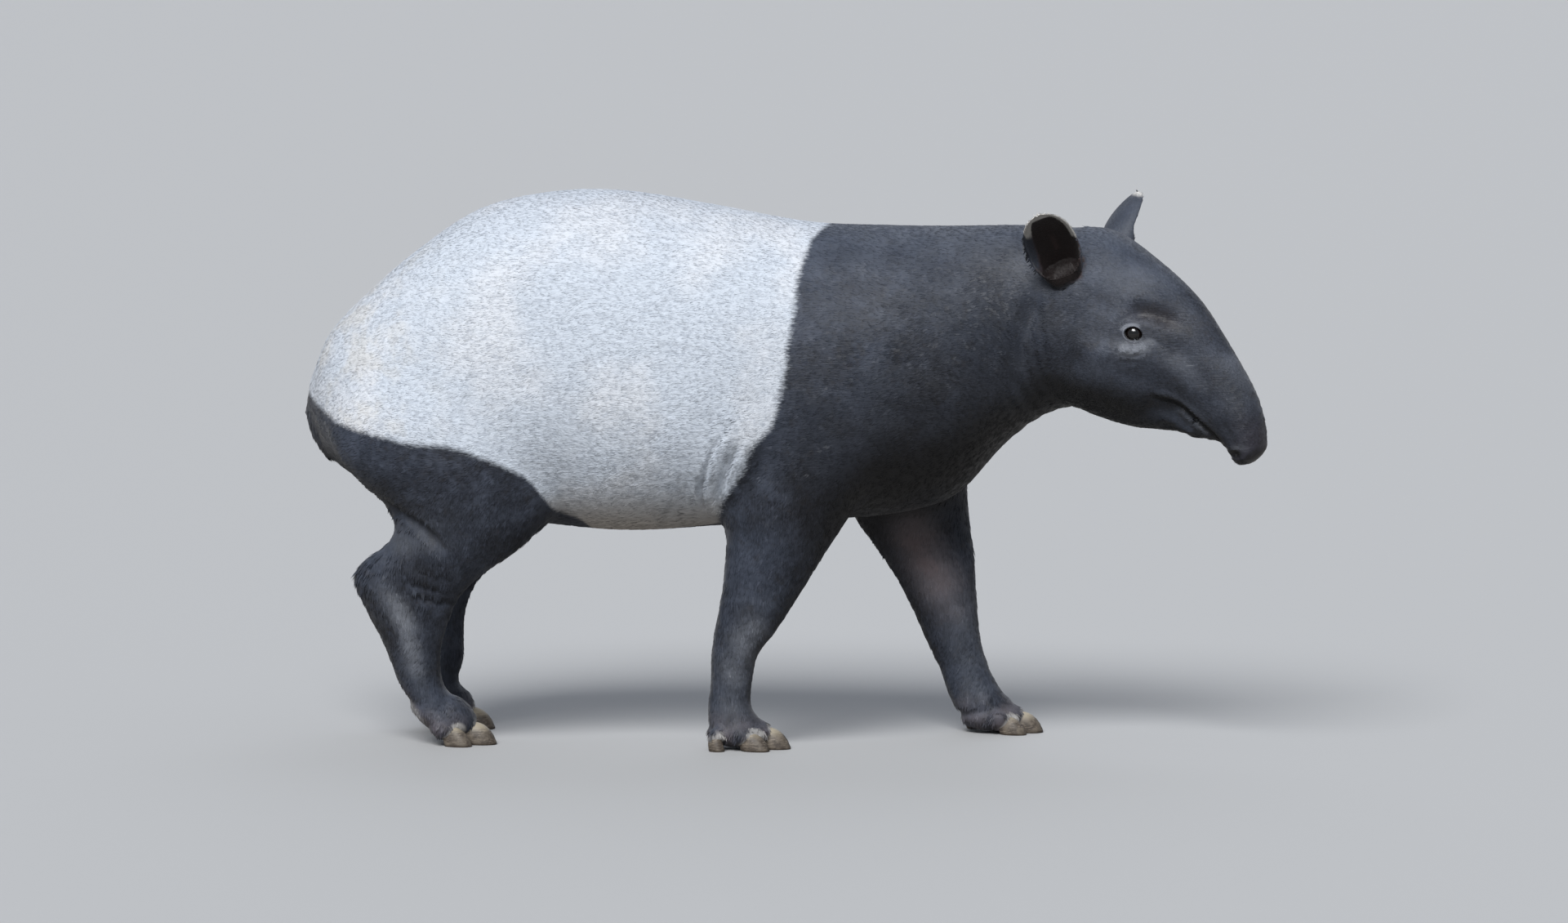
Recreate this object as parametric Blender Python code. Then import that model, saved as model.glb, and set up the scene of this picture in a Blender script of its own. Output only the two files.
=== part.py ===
"""Malayan tapir, adult, life size: a still model in mid-stride with its head turned to its right.

The body is modelled whole and straight, then parted by thin cuts into the pieces a person would
name, and last the neck is turned. Metres, +X forward, +Y the animal's left, +Z up, floor at z = 0.
"""
import math

import bmesh
import bpy
import numpy as np
from mathutils import Matrix, Vector

# Gap left between two neighbouring pieces, and how finely the whole body is first meshed.
GAP = 0.0003
VOXEL = 0.0085
BODY_TRIANGLES = 4800
HEAD_TRIANGLES = 10500

# The neck turns to the right between these two stations, and the head leans a little that way.
TURN_FROM = 0.38
TURN_TO = 0.60
HEAD_TURN = math.radians(26)
HEAD_LEAN = math.radians(6)
LEAN_HEIGHT = 0.80
LEGS_BELOW = 0.45

# Rows of a body: upper or front point (x, z), lower or back point (x, z), y of the middle, half width.
TRUNK = (
    (-0.905, 0.700, -0.895, 0.600, 0, 0.060),
    (-0.870, 0.780, -0.865, 0.535, 0, 0.125),
    (-0.800, 0.855, -0.800, 0.490, 0, 0.180),
    (-0.700, 0.941, -0.700, 0.452, 0, 0.218),
    (-0.580, 1.019, -0.580, 0.432, 0, 0.240),
    (-0.440, 1.052, -0.440, 0.412, 0, 0.254),
    (-0.300, 1.054, -0.300, 0.402, 0, 0.263),
    (-0.120, 1.026, -0.120, 0.412, 0, 0.258),
    (0.050, 0.996, 0.050, 0.425, 0, 0.238),
    (0.200, 0.990, 0.205, 0.435, 0, 0.218),
    (0.320, 0.989, 0.330, 0.470, 0, 0.190),
    (0.420, 0.991, 0.415, 0.560, 0, 0.158),
    (0.520, 0.993, 0.490, 0.622, 0, 0.132),
    (0.600, 0.985, 0.570, 0.650, 0, 0.112),
)
SKULL = (
    (0.520, 0.975, 0.520, 0.660, 0, 0.112),
    (0.600, 0.996, 0.595, 0.640, 0, 0.118),
    (0.662, 0.982, 0.648, 0.626, 0, 0.117),
    (0.727, 0.940, 0.700, 0.618, 0, 0.107),
    (0.783, 0.898, 0.738, 0.628, 0, 0.090),
    (0.828, 0.855, 0.768, 0.643, 0, 0.075),
    (0.868, 0.799, 0.800, 0.640, 0, 0.063),
    (0.904, 0.743, 0.833, 0.617, 0, 0.054),
    (0.933, 0.692, 0.860, 0.594, 0, 0.048),
    (0.950, 0.641, 0.881, 0.572, 0, 0.044),
    (0.955, 0.588, 0.897, 0.549, 0, 0.041),
)
JAW = (
    (0.590, 0.740, 0.590, 0.634, 0, 0.080),
    (0.680, 0.715, 0.680, 0.612, 0, 0.074),
    (0.740, 0.690, 0.738, 0.608, 0, 0.060),
    (0.790, 0.660, 0.784, 0.603, 0, 0.046),
    (0.830, 0.636, 0.822, 0.598, 0, 0.037),
    (0.850, 0.620, 0.845, 0.597, 0, 0.028),
)
FORELEG_RIGHT = (
    (0.215, 0.720, 0.010, 0.770, -0.130, 0.070),
    (0.206, 0.600, -0.050, 0.640, -0.145, 0.082),
    (0.186, 0.520, -0.082, 0.540, -0.152, 0.082),
    (0.148, 0.455, -0.099, 0.465, -0.152, 0.076),
    (0.100, 0.385, -0.102, 0.388, -0.150, 0.066),
    (0.050, 0.306, -0.106, 0.310, -0.147, 0.056),
    (-0.002, 0.225, -0.121, 0.228, -0.144, 0.049),
    (-0.036, 0.180, -0.128, 0.182, -0.142, 0.045),
    (-0.047, 0.128, -0.130, 0.132, -0.140, 0.040),
    (-0.050, 0.085, -0.134, 0.085, -0.139, 0.041),
    (-0.034, 0.050, -0.134, 0.048, -0.139, 0.046),
)
FORELEG_LEFT = (
    (0.250, 0.740, 0.040, 0.760, 0.130, 0.070),
    (0.325, 0.615, 0.055, 0.620, 0.142, 0.080),
    (0.346, 0.520, 0.075, 0.520, 0.148, 0.080),
    (0.352, 0.450, 0.115, 0.430, 0.148, 0.074),
    (0.359, 0.380, 0.164, 0.362, 0.146, 0.064),
    (0.364, 0.311, 0.206, 0.302, 0.144, 0.055),
    (0.369, 0.241, 0.241, 0.234, 0.141, 0.049),
    (0.375, 0.180, 0.269, 0.172, 0.139, 0.045),
    (0.392, 0.126, 0.294, 0.119, 0.137, 0.040),
    (0.410, 0.090, 0.308, 0.080, 0.136, 0.042),
    (0.432, 0.060, 0.322, 0.048, 0.136, 0.047),
)
HINDLEG_RIGHT = (
    (-0.485, 0.800, -0.800, 0.740, -0.120, 0.090),
    (-0.425, 0.660, -0.858, 0.620, -0.138, 0.106),
    (-0.410, 0.560, -0.838, 0.545, -0.146, 0.106),
    (-0.418, 0.476, -0.792, 0.497, -0.150, 0.097),
    (-0.450, 0.408, -0.735, 0.440, -0.152, 0.082),
    (-0.502, 0.366, -0.738, 0.398, -0.152, 0.068),
    (-0.562, 0.326, -0.786, 0.361, -0.150, 0.057),
    (-0.605, 0.283, -0.811, 0.319, -0.143, 0.051),
    (-0.628, 0.233, -0.790, 0.262, -0.136, 0.047),
    (-0.642, 0.186, -0.762, 0.205, -0.128, 0.042),
    (-0.644, 0.139, -0.742, 0.154, -0.120, 0.040),
    (-0.634, 0.104, -0.729, 0.116, -0.115, 0.043),
    (-0.614, 0.070, -0.708, 0.086, -0.112, 0.046),
)
# The left hind leg repeats the right one, moved ahead by so much at each height.
HIND_AHEAD = ((0.06, -0.030), (0.105, -0.008), (0.145, 0.016), (0.20, 0.012), (0.26, 0.0))
TAIL = (
    (-0.872, 0.690, -0.850, 0.650, 0, 0.022),
    (-0.906, 0.676, -0.876, 0.645, 0, 0.024),
    (-0.923, 0.640, -0.883, 0.622, 0, 0.022),
    (-0.921, 0.600, -0.884, 0.596, 0, 0.019),
    (-0.906, 0.560, -0.876, 0.556, 0, 0.015),
    (-0.888, 0.528, -0.868, 0.530, 0, 0.009),
)

# Feet: place of the leg's middle on the floor, heading, and how far the heel is raised.
FEET = {
    "fore_right": (-0.083, -0.139, -4, 0),
    "fore_left": (0.388, 0.136, 2, 0),
    "hind_right": (-0.668, -0.110, -2, 34),
    "hind_left": (-0.698, 0.110, 2, 34),
}
# Toes: name, forward, outward, hoof length, width and height, and outward turn in degrees.
FORE_TOES = (
    ("middle", 0.078, -0.004, 0.060, 0.044, 0.040, 0),
    ("inner", 0.050, -0.041, 0.052, 0.035, 0.034, -14),
    ("outer", 0.046, 0.038, 0.056, 0.037, 0.035, 12),
    ("small", -0.026, 0.052, 0.030, 0.025, 0.033, 20),
)
HIND_TOES = (
    ("middle", 0.098, 0.000, 0.062, 0.045, 0.042, 0),
    ("inner", 0.060, -0.038, 0.052, 0.035, 0.036, -14),
    ("outer", 0.060, 0.038, 0.054, 0.036, 0.036, 14),
)
SOLE_CLEAR = 0.0025

# The eye: middle of the ball, radius, lid thickness, and the lids' opening.
EYE_AT = (0.727, 0.0765, 0.803)
EYE_RADIUS = 0.0195
LID = 0.0032
EYE_OPEN_LONG = 0.033
EYE_OPEN_TALL = 0.022
EYE_TILT = math.radians(-12)

# The ear: base, tip, the way its cup faces, half width and depth of the cup, wall.
EAR_BASE = (0.592, 0.080, 0.898)
EAR_TIP = (0.586, 0.178, 1.044)
# The left ear is turned a little further forward: its base and tip move ahead, and its tip drops.
LEFT_EAR_AHEAD = (0.009, 0.021)
LEFT_EAR_DROP = 0.009
EAR_FACES = (0.50, 0.84, -0.20)
EAR_HALF_WIDTH = 0.052
EAR_DEPTH = 0.036
EAR_WALL = 0.0055

NOSTRIL = (0.909, 0.031, 0.573)

# The mouth: its corner, two points on the way and the lips' front, and the slit's thickness.
MOUTH = ((0.762, 0.678), (0.798, 0.668), (0.832, 0.639), (0.875, 0.594))
MOUTH_SLIT = 0.0022


def clear_scene():
    for obj in list(bpy.data.objects):
        bpy.data.objects.remove(obj, do_unlink=True)


def colour(hexadecimal):
    """Linear RGBA of an sRGB colour written as six hexadecimal digits."""
    channels = [int(hexadecimal[i:i + 2], 16) / 255 for i in (0, 2, 4)]
    return [c / 12.92 if c < 0.04045 else ((c + 0.055) / 1.055) ** 2.4 for c in channels] + [1]


def material(name, hexadecimal, roughness):
    """A plain surface: none of the animal is metal."""
    made = bpy.data.materials.get(name) or bpy.data.materials.new(name)
    made.use_nodes = True
    shader = made.node_tree.nodes["Principled BSDF"]
    shader.inputs["Base Color"].default_value = colour(hexadecimal)
    shader.inputs["Roughness"].default_value = roughness
    shader.inputs["Metallic"].default_value = 0
    return made


def new_object(name, points, faces):
    mesh = bpy.data.meshes.new(name)
    mesh.from_pydata([tuple(p) for p in points], [], faces)
    made = bpy.data.objects.new(name, mesh)
    bpy.context.scene.collection.objects.link(made)
    return made


def face_outwards(obj):
    bm = bmesh.new()
    bm.from_mesh(obj.data)
    bmesh.ops.recalc_face_normals(bm, faces=bm.faces)
    bm.to_mesh(obj.data)
    bm.free()


def apply_modifiers(obj):
    graph = bpy.context.evaluated_depsgraph_get()
    made = bpy.data.meshes.new_from_object(obj.evaluated_get(graph), depsgraph=graph)
    obj.modifiers.clear()
    old = obj.data
    obj.data = made
    bpy.data.meshes.remove(old)


def through(rows, steps):
    """Rows read off a smooth curve through the given rows."""
    rows = np.array(rows, float)
    ends = np.vstack([2 * rows[0] - rows[1], rows, 2 * rows[-1] - rows[-2]])
    found = []
    for i in range(len(rows) - 1):
        a, b, c, d = ends[i:i + 4]
        for t in np.arange(steps) / steps:
            found.append(0.5 * (2 * b + (c - a) * t + (2 * a - 5 * b + 4 * c - d) * t ** 2
                                + (3 * b - a - 3 * c + d) * t ** 3))
    return np.array(found + [rows[-1]])


def ring(row, sides, square, egg):
    """One cross section: an oval from the row's first point to its second, narrower at the first."""
    x1, z1, x2, z2, y, half = row
    angle = np.linspace(0, 2 * np.pi, sides, endpoint=False)
    along = np.sign(np.cos(angle)) * np.abs(np.cos(angle)) ** (2 / square)
    across = np.sign(np.sin(angle)) * np.abs(np.sin(angle)) ** (2 / square)
    across = across * (1 - egg * along)
    return np.stack([(x1 + x2) / 2 + along * (x1 - x2) / 2,
                     y + half * across,
                     (z1 + z2) / 2 + along * (z1 - z2) / 2], axis=1)


def bridged(name, rings):
    """A closed body through rings of points, with a flat end at each side."""
    sides = len(rings[0])
    points = np.vstack(rings)
    faces = []
    for i in range(len(rings) - 1):
        for j in range(sides):
            k = (j + 1) % sides
            a, b = i * sides, (i + 1) * sides
            faces.append((a + j, a + k, b + k))
            faces.append((a + j, b + k, b + j))
    faces.append(tuple(range(sides))[::-1])
    faces.append(tuple(range(len(points) - sides, len(points))))
    made = new_object(name, points, faces)
    face_outwards(made)
    return made


def loft(name, rows, sides=32, steps=5, square=2.2, egg=0.0, start_cap=0.02, end_cap=0.02):
    """A closed body through the rows' cross sections, with a domed end at each side."""
    rings = [ring(row, sides, square, egg) for row in through(rows, steps)]
    for end, inner, cap in ((0, 1, start_cap), (-1, -2, end_cap)):
        middle = rings[end].mean(axis=0)
        out = middle - rings[inner].mean(axis=0)
        out /= np.linalg.norm(out)
        dome = [middle + (rings[end] - middle) * math.cos(a) + out * cap * math.sin(a)
                for a in np.radians([28, 54, 74])]
        rings = dome[::-1] + rings if end == 0 else rings + dome
    return bridged(name, rings)


def ball(name, middle, radii, turn=Matrix.Identity(3), rings=12):
    """An ellipsoid with its radii along the turned axes."""
    bm = bmesh.new()
    bmesh.ops.create_uvsphere(bm, u_segments=2 * rings, v_segments=rings, radius=1)
    for v in bm.verts:
        v.co = turn @ Vector([c * r for c, r in zip(v.co, radii)]) + Vector(middle)
    mesh = bpy.data.meshes.new(name)
    bm.to_mesh(mesh)
    bm.free()
    made = bpy.data.objects.new(name, mesh)
    bpy.context.scene.collection.objects.link(made)
    return made


def prism(name, outline, x0, x1):
    """A cutter with its outline in Y and Z, running from x0 to x1."""
    n = len(outline)
    points = [(x0, y, z) for y, z in outline] + [(x1, y, z) for y, z in outline]
    faces = [tuple(range(n)), tuple(range(n, 2 * n))]
    faces += [(i, (i + 1) % n, n + (i + 1) % n, n + i) for i in range(n)]
    made = new_object(name, points, faces)
    face_outwards(made)
    made.hide_render = True
    made.display_type = "WIRE"
    return made


def boolean(obj, other, operation, solver="EXACT"):
    """Cuts or joins obj with the other object, which is then removed."""
    step = obj.modifiers.new("Boolean", "BOOLEAN")
    step.operation = operation
    step.solver = solver
    step.object = other
    apply_modifiers(obj)
    bpy.data.objects.remove(other, do_unlink=True)


def copied(obj, name):
    made = obj.copy()
    made.data = obj.data.copy()
    made.name = name
    bpy.context.scene.collection.objects.link(made)
    return made


def keep_largest(obj):
    """Leaves only the object's largest closed surface."""
    bm = bmesh.new()
    bm.from_mesh(obj.data)
    left = set(bm.verts)
    pieces = []
    while left:
        stack = [left.pop()]
        piece = set(stack)
        while stack:
            for edge in stack.pop().link_edges:
                for v in edge.verts:
                    if v not in piece:
                        piece.add(v)
                        stack.append(v)
        left -= piece
        pieces.append(piece)
    pieces.sort(key=len)
    for piece in pieces[:-1]:
        bmesh.ops.delete(bm, geom=list(piece), context="VERTS")
    bm.to_mesh(obj.data)
    bm.free()


def join(objects, name):
    """One object holding the meshes of all of them, not yet fused."""
    bm = bmesh.new()
    for obj in objects:
        bm.from_mesh(obj.data)
    mesh = bpy.data.meshes.new(name)
    bm.to_mesh(mesh)
    bm.free()
    for obj in objects:
        bpy.data.objects.remove(obj, do_unlink=True)
    made = bpy.data.objects.new(name, mesh)
    bpy.context.scene.collection.objects.link(made)
    return made


def coordinates(mesh):
    found = np.empty(len(mesh.vertices) * 3)
    mesh.vertices.foreach_get("co", found)
    return found.reshape(-1, 3)


def set_coordinates(mesh, points):
    mesh.vertices.foreach_set("co", points.ravel())
    mesh.update()


def normals(mesh):
    found = np.empty(len(mesh.vertices) * 3)
    mesh.vertex_normals.foreach_get("vector", found)
    return found.reshape(-1, 3)


def relax(mesh, amount, rounds, push_back=0.0):
    """Draws each point toward the middle of its neighbours, by its own amount from 0 to 1.

    push_back gives part of each round back, which keeps thin shapes from shrinking.
    """
    ends = np.empty(len(mesh.edges) * 2, dtype=np.int64)
    mesh.edges.foreach_get("vertices", ends)
    ends = ends.reshape(-1, 2)
    one, other = np.hstack([ends[:, 0], ends[:, 1]]), np.hstack([ends[:, 1], ends[:, 0]])
    count = np.maximum(np.bincount(one, minlength=len(mesh.vertices)), 1)[:, None]
    points = coordinates(mesh)
    amount = np.broadcast_to(amount, len(points))[:, None]
    for _ in range(rounds):
        for pull in (amount, -push_back * amount) if push_back else (amount,):
            mean = np.stack([np.bincount(one, weights=points[other, i], minlength=len(points))
                             for i in range(3)], axis=1) / count
            points = points + pull * (mean - points)
    set_coordinates(mesh, points)


def bump(points, middle, radii):
    """1 at the middle, falling smoothly to nothing a little past the radii."""
    away = (points - np.array(middle)) / np.array(radii)
    return np.exp(-(away ** 2).sum(axis=1))


def both_sides(points, middle, radii):
    x, y, z = middle
    return bump(points, (x, y, z), radii) + bump(points, (x, -y, z), radii)


def near_path(points, path, width):
    """1 on a path in the side view, given as (x, z) points, fading over its width and at its ends."""
    flat = points[:, [0, 2]]
    best = np.full(len(flat), 1e9)
    place = np.zeros(len(flat))
    path = through(path, 6)
    for i in range(len(path) - 1):
        a, b = path[i], path[i + 1]
        t = np.clip(((flat - a) @ (b - a)) / ((b - a) @ (b - a)), 0, 1)
        away = np.linalg.norm(flat - a - t[:, None] * (b - a), axis=1)
        nearer = away < best
        best[nearer] = away[nearer]
        place[nearer] = (i + t[nearer]) / (len(path) - 1)
    ends = np.clip(place / 0.2, 0, 1) * np.clip((1 - place) / 0.2, 0, 1)
    return np.exp(-(best / width) ** 2) * (0.25 + 0.75 * ends)


def step(value, low, high):
    """0 below low, 1 above high, smooth between."""
    t = np.clip((value - low) / (high - low), 0, 1)
    return t * t * (3 - 2 * t)


def foot_frame(name):
    """Turn and place of a foot, with outward along its second axis."""
    x, y, heading, heel = FEET[name]
    outward = 1 if y > 0 else -1
    turn = Matrix.Rotation(math.radians(heading), 3, "Z") @ Matrix.Diagonal((1, outward, 1))
    return turn, Vector((x, y, 0)), math.radians(heel)


def toes_of(name):
    return FORE_TOES if name.startswith("fore") else HIND_TOES


def foot_flesh(name):
    """The sole's pad and the toes behind the hooves."""
    turn, place, heel = foot_frame(name)
    hinge = Vector((0.045, 0, 0.012))
    tip = Matrix.Rotation(heel, 3, "Y")
    pad_at = hinge + tip @ (Vector((-0.003 if heel else 0.010, 0, 0.030)) - hinge)
    pad = ball("pad_" + name, place + turn @ pad_at, (0.065, 0.052, 0.030), turn @ tip)
    bridge_at = hinge + tip @ (Vector((0.016 if heel else 0.004, 0, 0.047)) - hinge)
    bridge_long = 0.056 if heel else 0.046
    bridge = ball("bridge_" + name, place + turn @ bridge_at, (bridge_long, 0.043, 0.037), turn @ tip)
    made = [pad, bridge]
    for toe, forward, outward, length, width, height, splay in toes_of(name):
        back = (0.60 if forward > 0 else 0.12) * length
        spin = Matrix.Rotation(math.radians(splay), 3, "Z") @ Matrix.Rotation(0.25 + heel * 0.4, 3, "Y")
        at = Vector((forward - back, outward * 0.94, height * 0.86 + 0.2 * heel * back))
        radii = (0.52 * length, 0.58 * width, 0.62 * height)
        made.append(ball(f"toe_{name}_{toe}", place + turn @ at, radii, turn @ spin))
    return made


def hoof(name, foot, toe, grow=0.0):
    """A hoof: a dome squared towards its rounded front, flat below."""
    turn, place, heel = foot_frame(foot)
    _, forward, outward, length, width, height, splay = toe
    spin = turn @ Matrix.Rotation(math.radians(splay), 3, "Z")
    sides, levels = 12, 3
    points = []
    for level in range(levels + 1):
        up = math.sin(level / levels * math.pi / 2) ** 0.85
        wide = math.sqrt(max(0.0, 1 - (up * 0.985) ** 2.6))
        for i in range(sides):
            a = 2 * math.pi * i / sides
            c = math.copysign(abs(math.cos(a)) ** 0.82, math.cos(a))
            s = math.copysign(abs(math.sin(a)) ** 0.82, math.sin(a))
            lean = -0.22 * length * up
            points.append(spin @ Vector(((length / 2 + grow) * wide * c + lean,
                                         (width / 2 + grow) * wide * s,
                                         (height + grow) * up)))
    lowest = -grow
    for i in range(sides):
        points[i].z = lowest
    at = place + turn @ Vector((forward, outward, 0))
    points = [p + at for p in points]
    faces = [tuple(range(sides))[::-1], tuple(range(levels * sides, (levels + 1) * sides))]
    for level in range(levels):
        for i in range(sides):
            k = (i + 1) % sides
            low, high = level * sides, (level + 1) * sides
            faces.append((low + i, low + k, high + k, high + i))
    made = new_object(name, points, faces)
    face_outwards(made)
    return made


def ear_ends(side):
    """The base and the tip of one ear."""
    base = Vector((EAR_BASE[0], side * EAR_BASE[1], EAR_BASE[2]))
    tip = Vector((EAR_TIP[0], side * EAR_TIP[1], EAR_TIP[2]))
    if side > 0:
        base.x += LEFT_EAR_AHEAD[0]
        tip += Vector((LEFT_EAR_AHEAD[1], 0, -LEFT_EAR_DROP))
    return base, tip


def ear_rings(side, low, high, count, thin=0.0, lips=0.0):
    """Rings of the leaf from low to high along its length, thin inside its outer skin.

    Each ring runs round the back of the leaf from one rim to the other; lips carries both rims
    forward, for a cutter that reaches out of the cup.
    """
    base, tip = ear_ends(side)
    facing = Vector((EAR_FACES[0], side * EAR_FACES[1], EAR_FACES[2]))
    up = (tip - base).normalized()
    length = (tip - base).length
    facing = (facing - up * facing.dot(up)).normalized()
    across = up.cross(facing)
    rings = []
    for v in np.linspace(low, high, count):
        leaf = min(max(v, 0.0), 0.995)
        if leaf < 0.5:
            half = EAR_HALF_WIDTH * (0.56 + 0.44 * math.sin(math.pi * leaf))
        else:
            half = EAR_HALF_WIDTH * math.sqrt(1 - ((leaf - 0.5) / 0.5) ** 2.3)
        depth = EAR_DEPTH * (0.70 + 0.30 * math.sin(math.pi * leaf) - 0.52 * leaf ** 2)
        half = max(half - thin, 0.004)
        depth = max(depth - thin, 0.003)
        reach = math.radians(150 - 72 * step(leaf, 0.0, 0.40))
        middle = base + up * length * v + facing * 0.012 * leaf ** 2
        points = []
        for angle in np.linspace(-reach, reach, 11):
            points.append(middle + across * half * math.sin(angle) - facing * depth * math.cos(angle))
        if lips:
            points = [points[0] + facing * lips] + points + [points[-1] + facing * lips]
        rings.append(points)
    return rings


def ear(name, side):
    """A cupped leaf, hollow from a little above its root to the tip."""
    made = bridged(name, ear_rings(side, -0.16, 0.985, 9))
    cup = bridged("cup", ear_rings(side, 0.16, 1.04, 8, thin=EAR_WALL, lips=0.05))
    boolean(made, cup, "DIFFERENCE")
    keep_largest(made)
    return made


def ear_print(side):
    """The ear's outer form a gap larger all round, for the hollow that its root sits in."""
    rings = ear_rings(side, -0.16, 0.985, 9, thin=-1.5 * GAP, lips=2 * GAP)
    down = (Vector(rings[0][5]) - Vector(rings[1][5])).normalized()
    rings[0] = [p + down * 2 * GAP for p in rings[0]]
    return bridged("ear_print", rings)


def hind_rows(side):
    """The hind leg's rows, on the left moved ahead or back by its own step."""
    heights, moves = zip(*HIND_AHEAD)
    rows = []
    for x1, z1, x2, z2, y, half in HINDLEG_RIGHT:
        ahead = float(np.interp((z1 + z2) / 2, heights, moves)) if side > 0 else 0
        rows.append((x1 + ahead, z1, x2 + ahead, z2, y * -side, half))
    return rows


def whole_body():
    """The straight body, fused into one closed surface and smoothed where its masses meet."""
    masses = [
        loft("trunk", TRUNK, sides=44, square=2.25, egg=0.10, start_cap=0.012, end_cap=0.02),
        loft("skull", SKULL, square=2.15, egg=0.16, end_cap=0.016),
        loft("jaw", JAW, square=2.3, egg=-0.05, end_cap=0.008),
        loft("foreleg_right", FORELEG_RIGHT, end_cap=0.02),
        loft("foreleg_left", FORELEG_LEFT, end_cap=0.02),
        loft("hindleg_right", hind_rows(-1), square=2.1, end_cap=0.02),
        loft("hindleg_left", hind_rows(1), square=2.1, end_cap=0.02),
        loft("tail", TAIL, sides=16, square=2, start_cap=0.01, end_cap=0.006),
    ]
    for foot in FEET:
        masses += foot_flesh(foot)
    body = join(masses, "body")
    fuse = body.modifiers.new("Fuse", "REMESH")
    fuse.mode = "VOXEL"
    fuse.voxel_size = VOXEL
    apply_modifiers(body)
    keep_largest(body)
    blend(body.data)
    sculpt(body.data)
    return body


def blend(mesh):
    """Softens the creases between the masses, most where the limbs meet the trunk."""
    points = coordinates(mesh)
    joins = (both_sides(points, (0.13, 0.20, 0.62), (0.22, 0.14, 0.20))
             + both_sides(points, (-0.60, 0.22, 0.66), (0.28, 0.14, 0.22))
             + both_sides(points, (-0.42, 0.14, 0.44), (0.10, 0.16, 0.08))
             + both_sides(points, (-0.80, 0.10, 0.55), (0.10, 0.12, 0.10))
             + both_sides(points, (-0.70, 0.15, 0.41), (0.07, 0.12, 0.05))
             + both_sides(points, (0.36, 0.08, 0.50), (0.12, 0.14, 0.10))
             + both_sides(points, (-0.10, 0.14, 0.46), (0.08, 0.14, 0.08))
             + bump(points, (0.55, 0, 0.80), (0.10, 0.30, 0.30)))
    rounds = int(round(34 * (0.0085 / VOXEL) ** 2))
    relax(mesh, np.clip(0.9 * joins - 0.05, 0, 0.6), rounds)
    relax(mesh, 0.5, 6, push_back=1.02)


def sculpt(mesh):
    """Muscles, hollows and skin folds that the plain masses lack."""
    points = coordinates(mesh)
    out = normals(mesh)
    height = np.zeros(len(points))
    # Shoulder blade, point of the shoulder and the hollow behind the arm.
    height += 0.010 * both_sides(points, (0.20, 0.20, 0.74), (0.12, 0.10, 0.16))
    height += 0.010 * both_sides(points, (0.33, 0.15, 0.62), (0.07, 0.08, 0.09))
    height -= 0.007 * both_sides(points, (-0.02, 0.25, 0.66), (0.05, 0.10, 0.14))
    # Flank hollow, hip and thigh.
    height -= 0.008 * both_sides(points, (-0.37, 0.25, 0.56), (0.06, 0.10, 0.12))
    height += 0.006 * both_sides(points, (-0.48, 0.20, 0.92), (0.08, 0.10, 0.06))
    height += 0.008 * both_sides(points, (-0.62, 0.25, 0.58), (0.12, 0.10, 0.12))
    # Cheek, cheekbone, and the hollows before and behind the eye.
    height += 0.010 * both_sides(points, (0.645, 0.11, 0.715), (0.060, 0.05, 0.065))
    height += 0.006 * both_sides(points, (0.715, 0.10, 0.770), (0.045, 0.04, 0.018))
    height -= 0.008 * both_sides(points, (0.782, 0.075, 0.822), (0.030, 0.04, 0.020))
    height -= 0.006 * both_sides(points, (0.665, 0.10, 0.865), (0.040, 0.05, 0.040))
    # The neck's fold behind the jaw, and the folds of skin behind the elbow.
    fold = near_path(points, ((0.540, 0.885), (0.500, 0.790), (0.480, 0.690)), 0.016)
    height -= 0.006 * fold * step(np.abs(points[:, 1]), 0.03, 0.07)
    elbow = near_path(points, ((-0.082, 0.575), (-0.102, 0.515), (-0.120, 0.452)), 0.011)
    second = near_path(points, ((-0.132, 0.520), (-0.152, 0.450)), 0.010)
    height -= (0.007 * elbow + 0.005 * second) * step(np.abs(points[:, 1]), 0.18, 0.22)
    # Thigh above the calf, and the groove along the hock.
    groove = near_path(points, ((-0.690, 0.432), (-0.650, 0.398), (-0.620, 0.372)), 0.012)
    height -= 0.006 * groove * step(np.abs(points[:, 1]), 0.15, 0.19)
    points = points + out * height[:, None]
    points[:, 2] = np.maximum(points[:, 2], SOLE_CLEAR)
    set_coordinates(mesh, points)


def thinned(obj, name, triangles):
    """A copy of the whole body with about this many triangles."""
    made = copied(obj, name)
    made.data.calc_loop_triangles()
    thin = made.modifiers.new("Thin", "DECIMATE")
    thin.ratio = triangles / len(made.data.loop_triangles)
    thin.use_collapse_triangulate = True
    apply_modifiers(made)
    keep_largest(made)
    return made


def eye_axes(side):
    """The way an eye looks, the way its opening runs, and up."""
    look = Vector((0.34, side * 0.93, 0.12)).normalized()
    along = Vector((0, 0, 1)).cross(look).normalized() * side
    up = look.cross(along).normalized() * side
    long_way = along * -1 * math.cos(EYE_TILT) + up * math.sin(EYE_TILT)
    return look, long_way, look.cross(long_way).normalized()


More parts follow.
